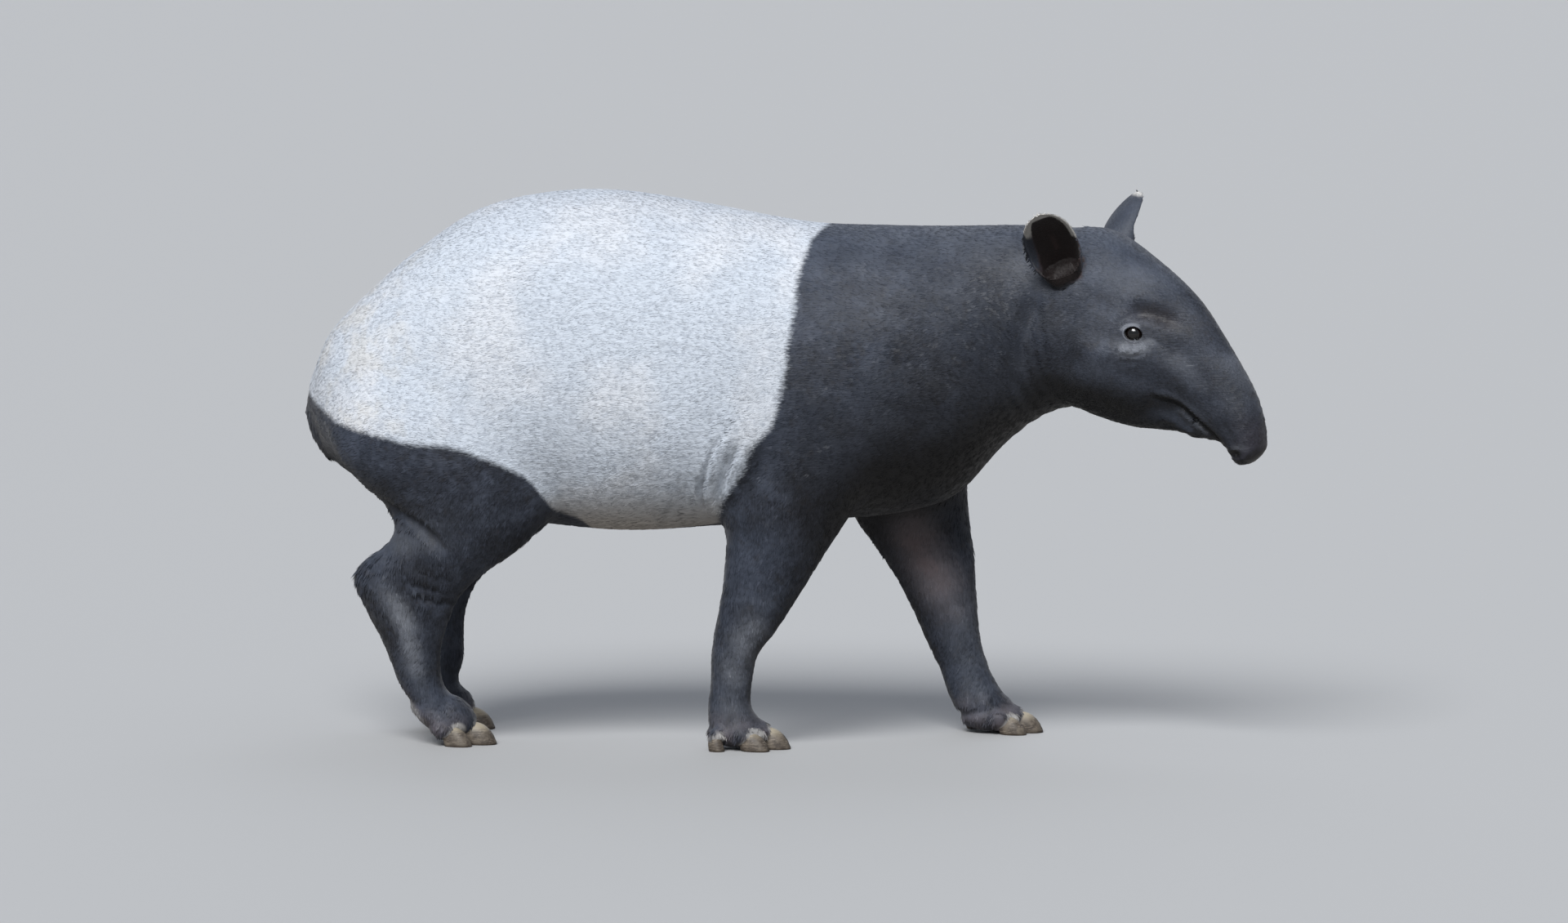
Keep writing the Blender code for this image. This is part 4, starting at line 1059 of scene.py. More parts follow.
def mark_dirt_and_painted_light(points, out, masks, patchy, mottle, fine):
    """Brown dirt on the snout, inner leg and feet, pale strands of painted light on the shaded inner leg, and
    painted shade under the body, low on the forequarters and at the listed shaded places.
    """
    x, y, z = points.T
    dust_and_painted_light, brown, dark, _ = masks
    brown += 0.14 * both_sides(points, (0.940, 0.0, 0.580), (0.035, 0.06, 0.05)) * (0.5 + 0.5 * patchy)
    inner_leg = near_path(points, ((0.215, 0.450), (0.265, 0.345), (0.318, 0.255)), 0.040)
    inner_leg *= step(-np.abs(y), -0.150, -0.115)
    brown += 0.75 * inner_leg * (0.5 + 0.5 * mottle)
    # Painted light: pale strands lift the inner leg, which lies in shade.
    dust_and_painted_light += 1.00 * inner_leg * (0.7 + 0.3 * mottle)
    brown += 0.30 * (1 - step(z, 0.02, 0.09)) * fine
    dark += 1.3 * both_sides(points, NOSTRIL, (0.0100, 0.011, 0.0065))
    dark += 1.2 * near_path(points, MOUTH, 0.0060) * on_head(points)
    ahead = step(x, -0.10, 0.02) + step(-x, 0.60, 0.70)
    # Painted shade on the surfaces that face down, above the feet, most at the front and the rear.
    dark += 0.38 * step(-out[:, 2], 0.05, 0.60) * step(z, 0.10, 0.16) * (0.1 + 0.9 * ahead)
    # Painted shade low on the forequarters, most between 0.42 and 0.58 m up.
    dark += 0.42 * step(x, -0.01, 0.06) * (1 - step(z, 0.58, 0.84)) * step(z, 0.32, 0.42)
    # Painted shade at the listed places.
    for share, middle, spread in PAINTED_SHADE_PLACES:
        dark += share * both_sides(points, middle, spread)


def mark_eye(points, masks, side, fine):
    """Dark lid edges, a pale ring of bare skin with a painted highlight thick over the upper lid, painted
    shade in the crease under the eye, and a wet corner that runs forward.
    """
    dust_and_painted_light, _, dark, _ = masks
    look, long_way, up = [np.array(v) for v in eye_axes(side)]
    local = points - np.array(eye_place(side))
    u = (local @ long_way) / (EYE_OPEN_LONG / 2)
    v = (local @ up) / (EYE_OPEN_TALL / 2)
    ring_at = np.hypot(u, v)
    front = local @ look > 0.004
    dark += 1.2 * (1 - step(ring_at, 0.94, 1.03)) * front
    # Painted shade in the crease under the lower lid.
    under = step(ring_at, 1.22, 1.30) * (1 - step(ring_at, 1.34, 1.46)) * step(-v, -0.1, 0.5)
    dark += 0.25 * under * front
    # The thick pale band over the upper lid is a painted highlight; the thin margin is pale bare skin.
    upper = step(v, -0.2, 0.7) * step(-u, -0.75, -0.2)
    margin = step(ring_at, 1.00, 1.10) * (1 - step(ring_at, 1.14, 1.24)) * step(-u, -0.9, -0.3)
    thick = step(ring_at, 1.02, 1.15) * (1 - step(ring_at, 1.40, 1.70))
    dust_and_painted_light += front * (0.60 * margin + 0.80 * upper * thick) * (0.7 + 0.3 * fine)
    dust_and_painted_light += 0.55 * np.exp(-(((local - long_way * 0.0225 + up * 0.001) / 0.0042) ** 2).sum(axis=1))
    dark += 0.8 * near_line(local, long_way * 0.0165, long_way * 0.0310 - up * 0.0040, 0.0016)


def mark_ears(points, out, masks, fine):
    """White rims, brown cups with painted shade inside them, and painted shadow in the hollow in front of
    each ear and round its root.
    """
    x, y, z = points.T
    side = np.abs(y)
    _, brown, dark, white = masks
    v, across, ahead = ear_place(points)
    on_ear = ears_share(points)
    half = EAR_HALF_WIDTH * leaf_width(v)
    edge = np.abs(across) / np.maximum(half, 0.004)
    # The white rim is 15 mm wide at the ear's top and 10 mm along its edges, and stays off the back.
    to_tip = (1.0 - v) * math.dist(EAR_BASE, EAR_TIP)
    to_edge = (1.0 - edge) * half
    front = step(ahead, -0.020, -0.008)
    rim = 1 - step(to_tip, 0.015, 0.020)
    rim += (1 - step(to_edge, 0.010, 0.014)) * step(v, 0.30, 0.36) * front
    white += np.clip(rim, 0, 1) * on_ear * step(z - 0.040 * (y > 0), 0.984, 0.992)
    cup = on_ear * in_cup(points, out)
    brown += cup * (0.25 + 0.55 * np.exp(-((across - 0.004) / 0.010) ** 2) * fine)
    ridge = np.exp(-((across - 0.004) / 0.011) ** 2) * (1 - step(v, 0.5, 0.7))
    # Painted shade inside the cup and on its floor.
    dark += 0.88 * cup * (1 - 0.45 * ridge) * (1 - white)
    floor = step(v, 0.05, 0.11) * (1 - step(v, 0.26, 0.36)) * (1 - step(edge, 0.80, 0.95))
    floor *= (ahead > -EAR_DEPTH * 0.75) & (ahead < 0.045) & (x < 0.70)
    dark += 0.92 * floor
    brown += floor + 0.6 * cup
    # Painted shadow in the hollow in front of the ear and round its root.
    dark += 0.95 * near_path(points, ((0.566, 0.902), (0.600, 0.911)), 0.017) * step(side, 0.040, 0.055)
    root = (EAR_BASE[0] - 0.003, EAR_BASE[1], EAR_BASE[2] + 0.007)
    dark += 0.75 * both_sides(points, root, (0.022, 0.022, 0.016))


def mark_folds(points, masks):
    """Painted shade in the folds and hollows: the brow, the creases at the elbow and the pocket under it, and
    the stifle's folds; the brow is also a little brown.
    """
    side = np.abs(points[:, 1])
    _, brown, dark, _ = masks
    brow = near_path(points, ((0.722, 0.844), (0.768, 0.837), (0.812, 0.818)), 0.0145)
    brow *= step(side, 0.030, 0.055)
    dark += 0.62 * brow
    brown += 0.10 * brow
    for path, deep, _ in ELBOW_FOLDS:
        dark += 75 * deep * near_path(points, path, 0.0024) * step(side, 0.11, 0.16)
    dark += 0.55 * both_sides(points, (-0.118, 0.20, 0.436), (0.026, 0.07, 0.012))
    for path, deep, wide in STIFLE_FOLDS:
        dark += 26 * deep * near_path(points, path, wide * 1.2) * step(side, 0.10, 0.15)


def mark_feet(points, masks, mottle, fine):
    """The heel pads are brown with a cream edge, and cream skin rings the top of each hoof."""
    _, brown, _, white = masks
    heel = near_path(points, ((-0.748, 0.135), (-0.714, 0.086), (-0.672, 0.030)), 0.0075)
    sole = near_path(points, ((-0.752, 0.105), (-0.716, 0.055), (-0.680, 0.010)), 0.022)
    white += 0.55 * heel * (0.4 + 0.6 * mottle)
    brown += 0.9 * sole * (1 - heel)
    for foot in FEET:
        turn, place, _ = foot_frame(foot)
        for _, forward, outward, length, width, height, _ in toes_of(foot):
            local = (points - np.array(place)) @ np.array(turn) - np.array((forward, outward, 0))
            ring_at = np.linalg.norm(local / np.array((length / 2, width / 2, height)), axis=1)
            white += 0.60 * (1 - step(ring_at, 1.12, 1.34)) * (0.5 + 0.5 * fine)


def leaf_width(v):
    """The ear's half width along its length, as a share of its widest."""
    leaf = np.clip(v, 0, 0.995)
    low = 0.56 + 0.44 * np.sin(math.pi * leaf)
    high = np.sqrt(np.maximum(1 - (np.maximum(leaf - 0.5, 0) / 0.5) ** 2.3, 0.02))
    return np.where(leaf < 0.5, low, high)


def leaf_depth(v):
    """The ear's depth along its length, as a share of EAR_DEPTH."""
    leaf = np.clip(v, 0, 0.995)
    return 0.70 + 0.30 * np.sin(math.pi * leaf) - 0.52 * leaf ** 2


def out_of_axis(points):
    """Distance from the ear's middle line, as a share of the leaf's half width and depth there."""
    v, across, ahead = ear_place(points)
    forward = 0.012 * np.clip(v, 0, 0.995) ** 2
    return np.hypot(across / (EAR_HALF_WIDTH * leaf_width(v)),
                    (ahead - forward) / (EAR_DEPTH * leaf_depth(v)))


def in_cup(points, out):
    """1 on the ear's inner wall, which faces its middle line, and 0 on its back."""
    v = ear_place(points)[0]
    ratio = out_of_axis(points)
    inward = step((ratio - out_of_axis(points + 0.002 * out)) / 0.002, 1.0, 8.0)
    return inward * step(v, 0.12, 0.16) * (1 - step(ratio, 1.05, 1.15))


def near_line(points, start, end, width):
    """1 on a short straight line, fading over its width."""
    way = end - start
    share = np.clip((points - start) @ way / (way @ way), 0, 1)
    gap = np.linalg.norm(points - start - share[:, None] * way, axis=1)
    return np.exp(-(gap / width) ** 2)


def set_colour(mesh, name, values):
    layer = mesh.color_attributes.new(name, "FLOAT_COLOR", "POINT")
    layer.data.foreach_set("color", np.ascontiguousarray(values, dtype=np.float32).ravel())


# Materials. Sizes of their patterns are in millimetres, along and across the hair where there are two.
# A tapir's hair is about 0.1 mm thick, too fine to show here, so each stroke stands for a lock 2.4 mm wide.
HAIR_STROKE = (26.32, 2.381)
LOCK = (33.33, 11.76)
CURL = (16.13, 5.714)
FRINGE = (14.29, 3.030)
EDGE_WAVER = 71.43
BROAD_TONE = 181.8
PATCH = 58.82
BLOTCH = 21.74
# Pores, rays of the iris and lines in horn are drawn two to four times as coarse as they are, to show.
PORE = 1.613
IRIS_RAY = 1.111
HORN_LINE = (11.11, 1.923)
HORN_WEAR = 16.67
# The white hair mixes with the black over this far on each side of the saddle's edge, in metres.
FRONT_EDGE_SOFT = 0.0085
REAR_EDGE_SOFT = 0.0080


def linear(hex_code):
    """An sRGB colour as the linear values that shaders take."""
    parts = [int(hex_code[i:i + 2], 16) / 255 for i in (0, 2, 4)]
    return [p / 12.92 if p <= 0.04045 else ((p + 0.055) / 1.055) ** 2.4 for p in parts] + [1.0]


def new_material(name):
    """An empty material, and its shader."""
    made = bpy.data.materials.new(name)
    made.use_nodes = True
    return made, made.node_tree.nodes["Principled BSDF"]


def fill(node, **inputs):
    """Fills a node's sockets by name, with a link from another node's output or with a plain value."""
    for name, value in inputs.items():
        socket = node.inputs[name.replace("_", " ")]
        if isinstance(value, bpy.types.NodeSocket):
            node.id_data.links.new(value, socket)
        elif value is not None:
            socket.default_value = value


def add(tree, kind, *inputs, out=0, **given):
    """Adds a node and returns one of its outputs.

    Inputs fill its sockets in order. A name with a capital letter is a socket too, and any other name is
    one of the node's own settings.
    """
    node = tree.nodes.new("ShaderNode" + kind)
    for name in [name for name in given if name[0].islower()]:
        setattr(node, name, given.pop(name))
    for socket, value in zip(node.inputs, inputs):
        if isinstance(value, bpy.types.NodeSocket):
            tree.links.new(value, socket)
        else:
            socket.default_value = value
    fill(node, **given)
    return node.outputs[out]


def pattern(tree, place, size, detail, rough, distortion=0.0):
    """Noise whose grains have this size in millimetres along x, y and z."""
    fitted = add(tree, "Mapping", Vector=place, Scale=[1000 / length for length in size])
    return add(tree, "TexNoise", Vector=fitted, Scale=1.0, Detail=detail, Roughness=rough,
               Distortion=distortion)


def lay_tones(tree, colour, tones):
    """Lays colours over the first, each where its measure goes from low to high, up to most of it."""
    for measure, low, high, most, hex_code in tones:
        share = add(tree, "MapRange", measure, low, high, 0.0, most, interpolation_type="SMOOTHSTEP")
        colour = add(tree, "Mix", data_type="RGBA", Factor=share, A=colour, B=linear(hex_code),
                     out="Result")
    return colour


def lay_marks(tree, colour, masks):
    """Lays a colour over the first for each mask, up to most of it."""
    for mask, most, hex_code in masks:
        share = add(tree, "Math", mask, most, operation="MULTIPLY")
        colour = add(tree, "Mix", data_type="RGBA", Factor=share, A=colour, B=linear(hex_code),
                     out="Result")
    return colour


def lay_relief(tree, reliefs):
    """The facing of a surface with one relief over another, each with a strength and a height in metres."""
    facing = None
    for height, strength, distance in reliefs:
        facing = add(tree, "Bump", Strength=strength, Distance=distance, Height=height, Normal=facing)
    return facing


def edge_line(tree, measure, points, lowest, highest):
    """Where the saddle's edge lies at each value of a measure, on a smooth line through the points."""
    start, end = points[0][0], points[-1][0]
    share = add(tree, "MapRange", measure, start, end, 0.0, 1.0)
    line = add(tree, "FloatCurve", Value=share)
    mapping = line.node.mapping
    curve = mapping.curves[0]
    ends = [((a - start) / (end - start), (b - lowest) / (highest - lowest)) for a, b in points]
    curve.points[0].location = ends[0]
    curve.points[1].location = ends[-1]
    for place in ends[1:-1]:
        curve.points.new(*place)
    mapping.extend = "HORIZONTAL"
    mapping.update()
    return add(tree, "MapRange", line, 0.0, 1.0, lowest, highest)


def saddle_share(tree, place, x, z):
    """1 on the white saddle and 0 off it, with an edge made ragged along the lie of the hair."""
    long_way, across = FRINGE
    fringe = pattern(tree, place, (long_way, across, across), 2, 0.6)
    waver = pattern(tree, place, (EDGE_WAVER,) * 3, 2, 0.5)
    ragged_edge = add(tree, "Math", add(tree, "Math", fringe, 0.024, -0.012, operation="MULTIPLY_ADD"),
                      add(tree, "Math", waver, 0.018, -0.009, operation="MULTIPLY_ADD"), operation="ADD")
    front = add(tree, "Math", edge_line(tree, z, FRONT_EDGE, -0.25, 0.15), x, operation="SUBTRACT")
    ahead = add(tree, "Math", front, ragged_edge, operation="ADD")
    rear = add(tree, "Math", z, edge_line(tree, x, REAR_EDGE, 0.25, 0.75), operation="SUBTRACT")
    above = add(tree, "Math", rear, add(tree, "Math", ragged_edge, 0.7, operation="MULTIPLY"),
                operation="ADD")
    shares = [add(tree, "MapRange", gap, -soft, soft, interpolation_type="SMOOTHSTEP")
              for gap, soft in ((ahead, FRONT_EDGE_SOFT), (above, REAR_EDGE_SOFT))]
    return add(tree, "Math", *shares, operation="MULTIPLY")


def coat_material(name, on_tufts):
    """Short straight hair that lies flat: matt, finely stroked, slate black with a white saddle.

    The tufts wear the same as the skin.
    """
    material, shader = new_material(name)
    tree = material.node_tree
    place = add(tree, "TexCoord", out="Object")
    x, _, z = add(tree, "SeparateXYZ", place).node.outputs
    masks = add(tree, "Attribute", attribute_name="marks", out="Color")
    dust_and_painted_light, brown, dark = add(tree, "SeparateColor", masks).node.outputs
    rim = masks.node.outputs["Alpha"]
    lie = add(tree, "Attribute", attribute_name="lie", out="Color")
    limb, shade, _ = add(tree, "SeparateColor", lie).node.outputs

    # Hair runs back along the body and down the limbs.
    long_way, across = HAIR_STROKE
    strands = add(tree, "Mix", Factor=limb, out="Result",
                  A=pattern(tree, place, (long_way, across, across), 2, 0.6),
                  B=pattern(tree, place, (across, across, long_way), 2, 0.6))
    locks = pattern(tree, place, (LOCK[0], LOCK[1], LOCK[1]), 3, 0.55, 1.2)
    curls = pattern(tree, place, (CURL[0], CURL[1], CURL[1]), 3, 0.60, 1.6)
    broad = pattern(tree, place, (BROAD_TONE,) * 3, 3, 0.55)
    patches = pattern(tree, place, (PATCH,) * 3, 4, 0.6)
    blotch = pattern(tree, place, (BLOTCH,) * 3, 4, 0.62)
    saddle = saddle_share(tree, place, x, z)
    tone = add(tree, "Math", strands, 0.72, add(tree, "Math", shade, 0.28, operation="MULTIPLY"),
               operation="MULTIPLY_ADD")

    black = lay_tones(tree, linear("1E222B"), (
        (broad, 0.35, 0.65, 1.0, "303744"),
        (tone, 0.30, 0.75, 0.55, "4A505F"),
        (blotch, 0.54, 0.70, 0.35, "2B2726"),
        (patches, 0.50, 0.68, 0.60, "4B5261"),
        # Painted highlight: the black turns lighter and bluer towards the top, where the light from above
        # falls.
        (patches, 0.46, 0.32, 0.45, "191B21"),
        (z, 0.78, 1.0, 0.32, "515A6B"),
        (strands, 0.62, 0.80, dust_and_painted_light, "C0C2C6"),
    ))
    black = lay_marks(tree, black, ((dust_and_painted_light, 0.72, "9A9FA9"), (brown, 0.78, "7A5A54")))
    # The rump is a little yellowed in patches. The belly's edge turns brown, a dusty tint with painted shade,
    # and the top of the saddle is painted a little greyer against the light that falls there most.
    rump = add(tree, "MapRange", x, -0.55, -0.80, 0.0, 0.26, interpolation_type="SMOOTHSTEP")
    white = lay_tones(tree, linear("DAE3EF"), (
        (broad, 0.42, 0.66, 1.0, "E6EBF3"),
        # The grey in the hollows between the locks and curls is painted shade.
        (locks, 0.52, 0.30, 0.30, "B4BBC6"),
        (curls, 0.52, 0.36, 0.40, "98A1B0"),
        (tone, 0.50, 0.28, 0.25, "9AA0AC"),
        (z, 0.93, 1.04, 0.25, "C2C8D2"),
        (z, 0.50, 0.41, 0.58, "C9B79C"),
        (patches, 0.45, 0.66, rump, "DCD3C0"),
    ))
    colour = add(tree, "Mix", data_type="RGBA", Factor=saddle, A=black, B=white, out="Result")
    colour = lay_marks(tree, colour, ((rim, 1.0, "F0EEEA"), (dark, 0.92, "0D0C0D")))

    # White hair is the more matt, and where the dark mask darkens the coat, on damp skin and in painted shade
    # alike, it is smoother where no brown dirt dries it.
    rough = add(tree, "Math", add(tree, "Math", strands, 0.16, 0.50, operation="MULTIPLY_ADD"),
                add(tree, "Math", saddle, 0.12, operation="MULTIPLY"), operation="ADD")
    dry = add(tree, "Math", 1.0, brown, operation="SUBTRACT", use_clamp=True)
    wet = add(tree, "Math", add(tree, "Math", dark, -0.22, operation="MULTIPLY"), dry,
              operation="MULTIPLY")
    rough = add(tree, "Math", rough, wet, operation="ADD", use_clamp=True)
    fill(shader, Base_Color=colour, Roughness=rough, Specular_IOR_Level=0.35, Sheen_Weight=0.14,
         Sheen_Roughness=0.45)

    # Curls and locks stand out more in the white hair.
    curled = add(tree, "Math", curls, add(tree, "Math", saddle, 0.8, 0.2, operation="MULTIPLY_ADD"),
                 operation="MULTIPLY")
    locked = add(tree, "Math", locks, add(tree, "Math", saddle, 0.75, 0.25, operation="MULTIPLY_ADD"),
                 operation="MULTIPLY")
    if on_tufts:
        reliefs = ((curled, 0.55, 0.0022), (strands, 0.35, 0.0010))
    else:
        pores = pattern(tree, place, (PORE,) * 3, 2, 0.6)
        reliefs = ((locked, 0.45, 0.0035), (curled, 0.60, 0.0024), (strands, 0.55, 0.0014),
                   (pores, 0.18, 0.0006))
    fill(shader, Normal=lay_relief(tree, reliefs))
    return material


def horn_material():
    """Worn grey-brown hoof horn: dull and finely lined, creamier at its upper edge, darker at the ground."""
    material, shader = new_material("worn_hoof_horn")
    tree = material.node_tree
    place = add(tree, "TexCoord", out="Object")
    z = add(tree, "SeparateXYZ", place, out="Z")
    long_way, thick = HORN_LINE
    lines = pattern(tree, place, (long_way, long_way, thick), 3, 0.6)
    worn = pattern(tree, place, (HORN_WEAR,) * 3, 4, 0.6)
    colour = lay_tones(tree, linear("4E463F"), (
        (worn, 0.38, 0.62, 1.0, "6F665B"),
        (lines, 0.52, 0.66, 0.5, "A09486"),
        (z, 0.022, 0.038, 0.70, "BDB39E"),
        (z, 0.009, 0.0, 0.6, "453C34"),
    ))
    rough = add(tree, "Math", worn, 0.25, 0.42, operation="MULTIPLY_ADD")
    fill(shader, Base_Color=colour, Roughness=rough,
         Normal=lay_relief(tree, ((worn, 0.30, 0.0012), (lines, 0.35, 0.0010))))
    return material


def eye_material(side):
    """A dark brown iris round a wide pupil, under a wet clear coat that mirrors the light sharply."""
    material, shader = new_material("wet_eye_" + ("left" if side > 0 else "right"))
    tree = material.node_tree
    place = add(tree, "TexCoord", out="Object")
    at = world(np.array([eye_place(side)]))[0]
    look = world(np.array([eye_place(side) + eye_axes(side)[0]]))[0] - at
    centred = add(tree, "VectorMath", place, tuple(at), operation="SUBTRACT")
    forward = add(tree, "VectorMath", centred, tuple(look / EYE_RADIUS), operation="DOT_PRODUCT", out="Value")
    rays = pattern(tree, place, (IRIS_RAY,) * 3, 3, 0.6)
    colour = lay_tones(tree, linear("0E0B0B"), (
        (rays, 0.35, 0.65, 1.0, "1D1513"),
        (forward, 0.70, 0.64, 1.0, "15110F"),
        (forward, 0.905, 0.925, 1.0, "030303"),
    ))
    fill(shader, Base_Color=colour, Roughness=0.16, Specular_IOR_Level=0.6, Coat_Weight=1.0, Coat_IOR=1.5,
         Coat_Roughness=0.02)
    return material


def lash_material():
    """Black lash hair, a little glossy."""
    material, shader = new_material("black_lash_hair")
    fill(shader, Base_Color=linear("17161A"), Roughness=0.45)
    return material


# From the straight body to the frame's place: the head's turn and the shift that centres the box.

def world(points, rigid=False):
    return turned(np.asarray(points, dtype=float), rigid) + SHIFT


def find_shift():
    low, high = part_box("eye_right")
    middle = (np.array(low) + np.array(high)) / 2
    shift = middle - turned(np.array([eye_place(-1)], dtype=float), True)[0]
    shift[2] = 0.0
    return shift


SHIFT = find_shift()


def from_arrays(name, points, faces):
    """A mesh object of triangles."""
    mesh = bpy.data.meshes.new(name)
    mesh.vertices.add(len(points))
    mesh.vertices.foreach_set("co", np.ascontiguousarray(points, dtype=np.float32).ravel())
    mesh.loops.add(faces.size)
    mesh.loops.foreach_set("vertex_index", np.ascontiguousarray(faces, dtype=np.int32).ravel())
    mesh.polygons.add(len(faces))
    mesh.polygons.foreach_set("loop_start", np.arange(0, faces.size, 3, dtype=np.int32))
    mesh.update(calc_edges=True)
    made = bpy.data.objects.new(name, mesh)
    bpy.context.scene.collection.objects.link(made)
    return made


# A blade of fur: a slim leaf with its root in the skin, a raised middle and a lifted tip.
# Columns: along the lie, across it, out of the skin, in shares of length, width and lift.
BLADE = np.array(((0.0, 0.0, -0.7), (0.34, 0.5, 0.0), (0.34, -0.5, 0.0), (0.38, 0.0, 0.8), (1.0, 0.0, 1.0)))
BLADE_FACES = np.array(((0, 3, 1), (0, 2, 3), (1, 3, 4), (2, 4, 3), (0, 1, 2), (1, 4, 2)))
# A tuft: its blades, their width and lift as shares of their length, and the angle between them.
BLADES = 3
BLADE_WIDTH = 0.22
BLADE_LIFT = 0.060
BLADE_SPREAD = 0.15
# Tufts in a square as wide as a tuft is long, the most on a square metre, and a piece's triangles.
TUFT_COVER = 3.1
MOST_TUFTS = 60000
PIECE_TRIANGLES = 192000


class Surface:
    """The finished straight skin, as arrays to grow fur on."""

    def __init__(self, mesh):
        mesh.calc_loop_triangles()
        self.points = coordinates(mesh)
        self.out = normals(mesh)
        faces = np.empty(len(mesh.loop_triangles) * 3, dtype=np.int32)
        mesh.loop_triangles.foreach_get("vertices", faces)
        self.faces = faces.reshape(-1, 3)
        a, b, c = (self.points[self.faces[:, i]] for i in range(3))
        self.area = np.linalg.norm(np.cross(b - a, c - a), axis=1) / 2

    def scatter(self, per_area, rng):
        """Random roots, with per_area(points) of them on each square metre."""
        middles = self.points[self.faces].mean(axis=1)
        share = self.area * per_area(middles)
        total = int(share.sum())
        # Even draws along the running sum keep the spacing regular.
        ends = np.cumsum(share)
        picks = (np.arange(total) + rng.uniform(0, 1, total)) / total * ends[-1]
        chosen = np.minimum(np.searchsorted(ends, picks), len(ends) - 1)
        u, v = rng.uniform(0, 1, total), rng.uniform(0, 1, total)
        fold = u + v > 1
        u, v = np.where(fold, 1 - u, u), np.where(fold, 1 - v, v)
        w = np.stack([1 - u - v, u, v], axis=1)[:, :, None]
        corners = self.faces[chosen]
        points = (self.points[corners] * w).sum(axis=1)
        out = (self.out[corners] * w).sum(axis=1)
        return points, out / np.linalg.norm(out, axis=1)[:, None]


def fur_length(points):
    """Length of the coat's tufts: short on face and feet, longest on rump, belly and chest."""
    x, y, z = points.T
    length = np.full(len(points), 0.015)
    length += 0.004 * step(-z, -0.56, -0.44) * (np.abs(y) < 0.2)
    length -= 0.006 * step(-z, -0.34, -0.16)
    length -= 0.007 * step(x, 0.56, 0.70) * (z > 0.5)
    length -= 0.0015 * step(x, 0.78, 0.90) * (z > 0.5)
    length = np.where(ears_share(points) > 0.2, 0.0060, length)
    return np.maximum(length, 0.0055)


def tufts_per_area(points):
    length = fur_length(points)
    count = np.where(bare(points), 0, TUFT_COVER / length ** 2)
    return np.minimum(count, MOST_TUFTS)


def bare(points):
    """Where nothing grows: soles, lids' margins, lips' slit, nostrils, and hooves."""
    x, _, z = points.T
    soles = z < 0.012
    lids = away(points, EYE_AT) < 0.0255
    nose = (away(points, NOSTRIL) < 0.014) | ((x > 0.925) & (z < 0.59))
    mouth = (near_path(points, MOUTH, 0.005) > 0.4) & on_head(points)
    return soles | lids | nose | mouth | in_hooves(points)


def in_hooves(points):
    found = np.zeros(len(points), dtype=bool)
    for low, high in HOOF_BOXES:
        found |= ((points > low - 0.002) & (points < high - np.array((0, 0, 0.004)))).all(axis=1)
    return found


def fur(roots, out, lengths, rng):
    """A coat as arrays: the points of each tuft, and triangles."""
    lie = hair_lie(roots, out)
    # Locks wander together, so that the coat looks combed and a little matted.
    wander = 0.30 * ragged(roots, 0.035, 11) + 0.18 * ragged(roots, 0.012, 12)
    count = len(roots)
    across = np.cross(out, lie)
    all_points = []
    for b in range(BLADES):
        swing = wander + (b - (BLADES - 1) / 2) * BLADE_SPREAD + rng.normal(0, 0.07, count)
        ahead = lie * np.cos(swing)[:, None] + across * np.sin(swing)[:, None]
        aside = np.cross(out, ahead)
        size = lengths * rng.uniform(0.75, 1.15, count)
        start = roots + across * (rng.uniform(-0.22, 0.22, count) * lengths)[:, None]
        start = start + lie * (rng.uniform(-0.15, 0.15, count) * lengths)[:, None]
        rise = size * (BLADE_LIFT * rng.uniform(0.5, 1.35, count))
        for along, wide, up in BLADE:
            all_points.append(start + ahead * (size * along)[:, None]
                              + aside * (size * BLADE_WIDTH * wide)[:, None] + out * (rise * up)[:, None])
    points = np.stack(all_points, axis=1)
    corner = np.arange(BLADES)[:, None, None] * len(BLADE) + BLADE_FACES[None]
    corner = corner.reshape(-1, 3)
    faces = (np.arange(count)[:, None, None] * points.shape[1] + corner[None]).reshape(-1, 3)
    return points, faces


def coat_piece(name, roots, out, lengths, rng, stuff):
    """One piece of the coat, marked and lit as the skin at its roots."""
    points, faces = fur(roots, out, lengths, rng)
    count, each = points.shape[:2]
    made = from_arrays(name, world(points.reshape(-1, 3)), faces)
    lie = hair_lie(roots, out)
    masks = np.repeat(marks(roots + lie * (0.5 * lengths)[:, None], out), each, axis=0)
    shade = np.repeat(rng.uniform(0, 1, count), each)
    limb = np.repeat(legs_share(roots), each)
    set_colour(made.data, "marks", masks)
    set_colour(made.data, "lie", np.stack([limb, shade, shade, shade], axis=1))
    bake_map(made.data, roots, faces, each)
    made.data.materials.append(stuff)
    # The blades take the skin's own facing, a little stirred, so that the coat shines as one.
    made.data.shade_smooth()
    facing = world(roots + out * 0.001) - world(roots)
    facing /= np.linalg.norm(facing, axis=1)[:, None]
    facing = np.repeat(facing, each, axis=0) + np.repeat(rng.normal(0, 0.08, (count, 3)), each, axis=0)
    facing /= np.linalg.norm(facing, axis=1)[:, None]
    made.data.normals_split_custom_set_from_vertices(facing.tolist())
    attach(made, "root")


def unwrapped(points):
    """Places of skin points on a flat map: the trunk and head rolled out, and each limb beside it."""
    x, y, z = points.T
    along = (x + 1.0) / 2.1
    round_trunk = np.arctan2(y, -(z - 0.72)) / (2 * math.pi) + 0.5
    u = 0.02 + 0.96 * along
    v = 0.02 + 0.56 * round_trunk
    limb = (z < 0.44)
    for i, (mx, my) in enumerate(((-0.08, -0.14), (0.30, 0.14), (-0.70, -0.12), (-0.70, 0.12))):
        own = limb & (np.abs(x - mx) < 0.36) & (np.sign(y) == np.sign(my))
        turn = np.arctan2(y - my, x - mx) / (2 * math.pi) + 0.5
        u = np.where(own, 0.02 + 0.24 * (i + 0.96 * turn), u)
        v = np.where(own, 0.62 + 0.36 * z / 0.46, v)
    return np.stack([u, v], axis=1)


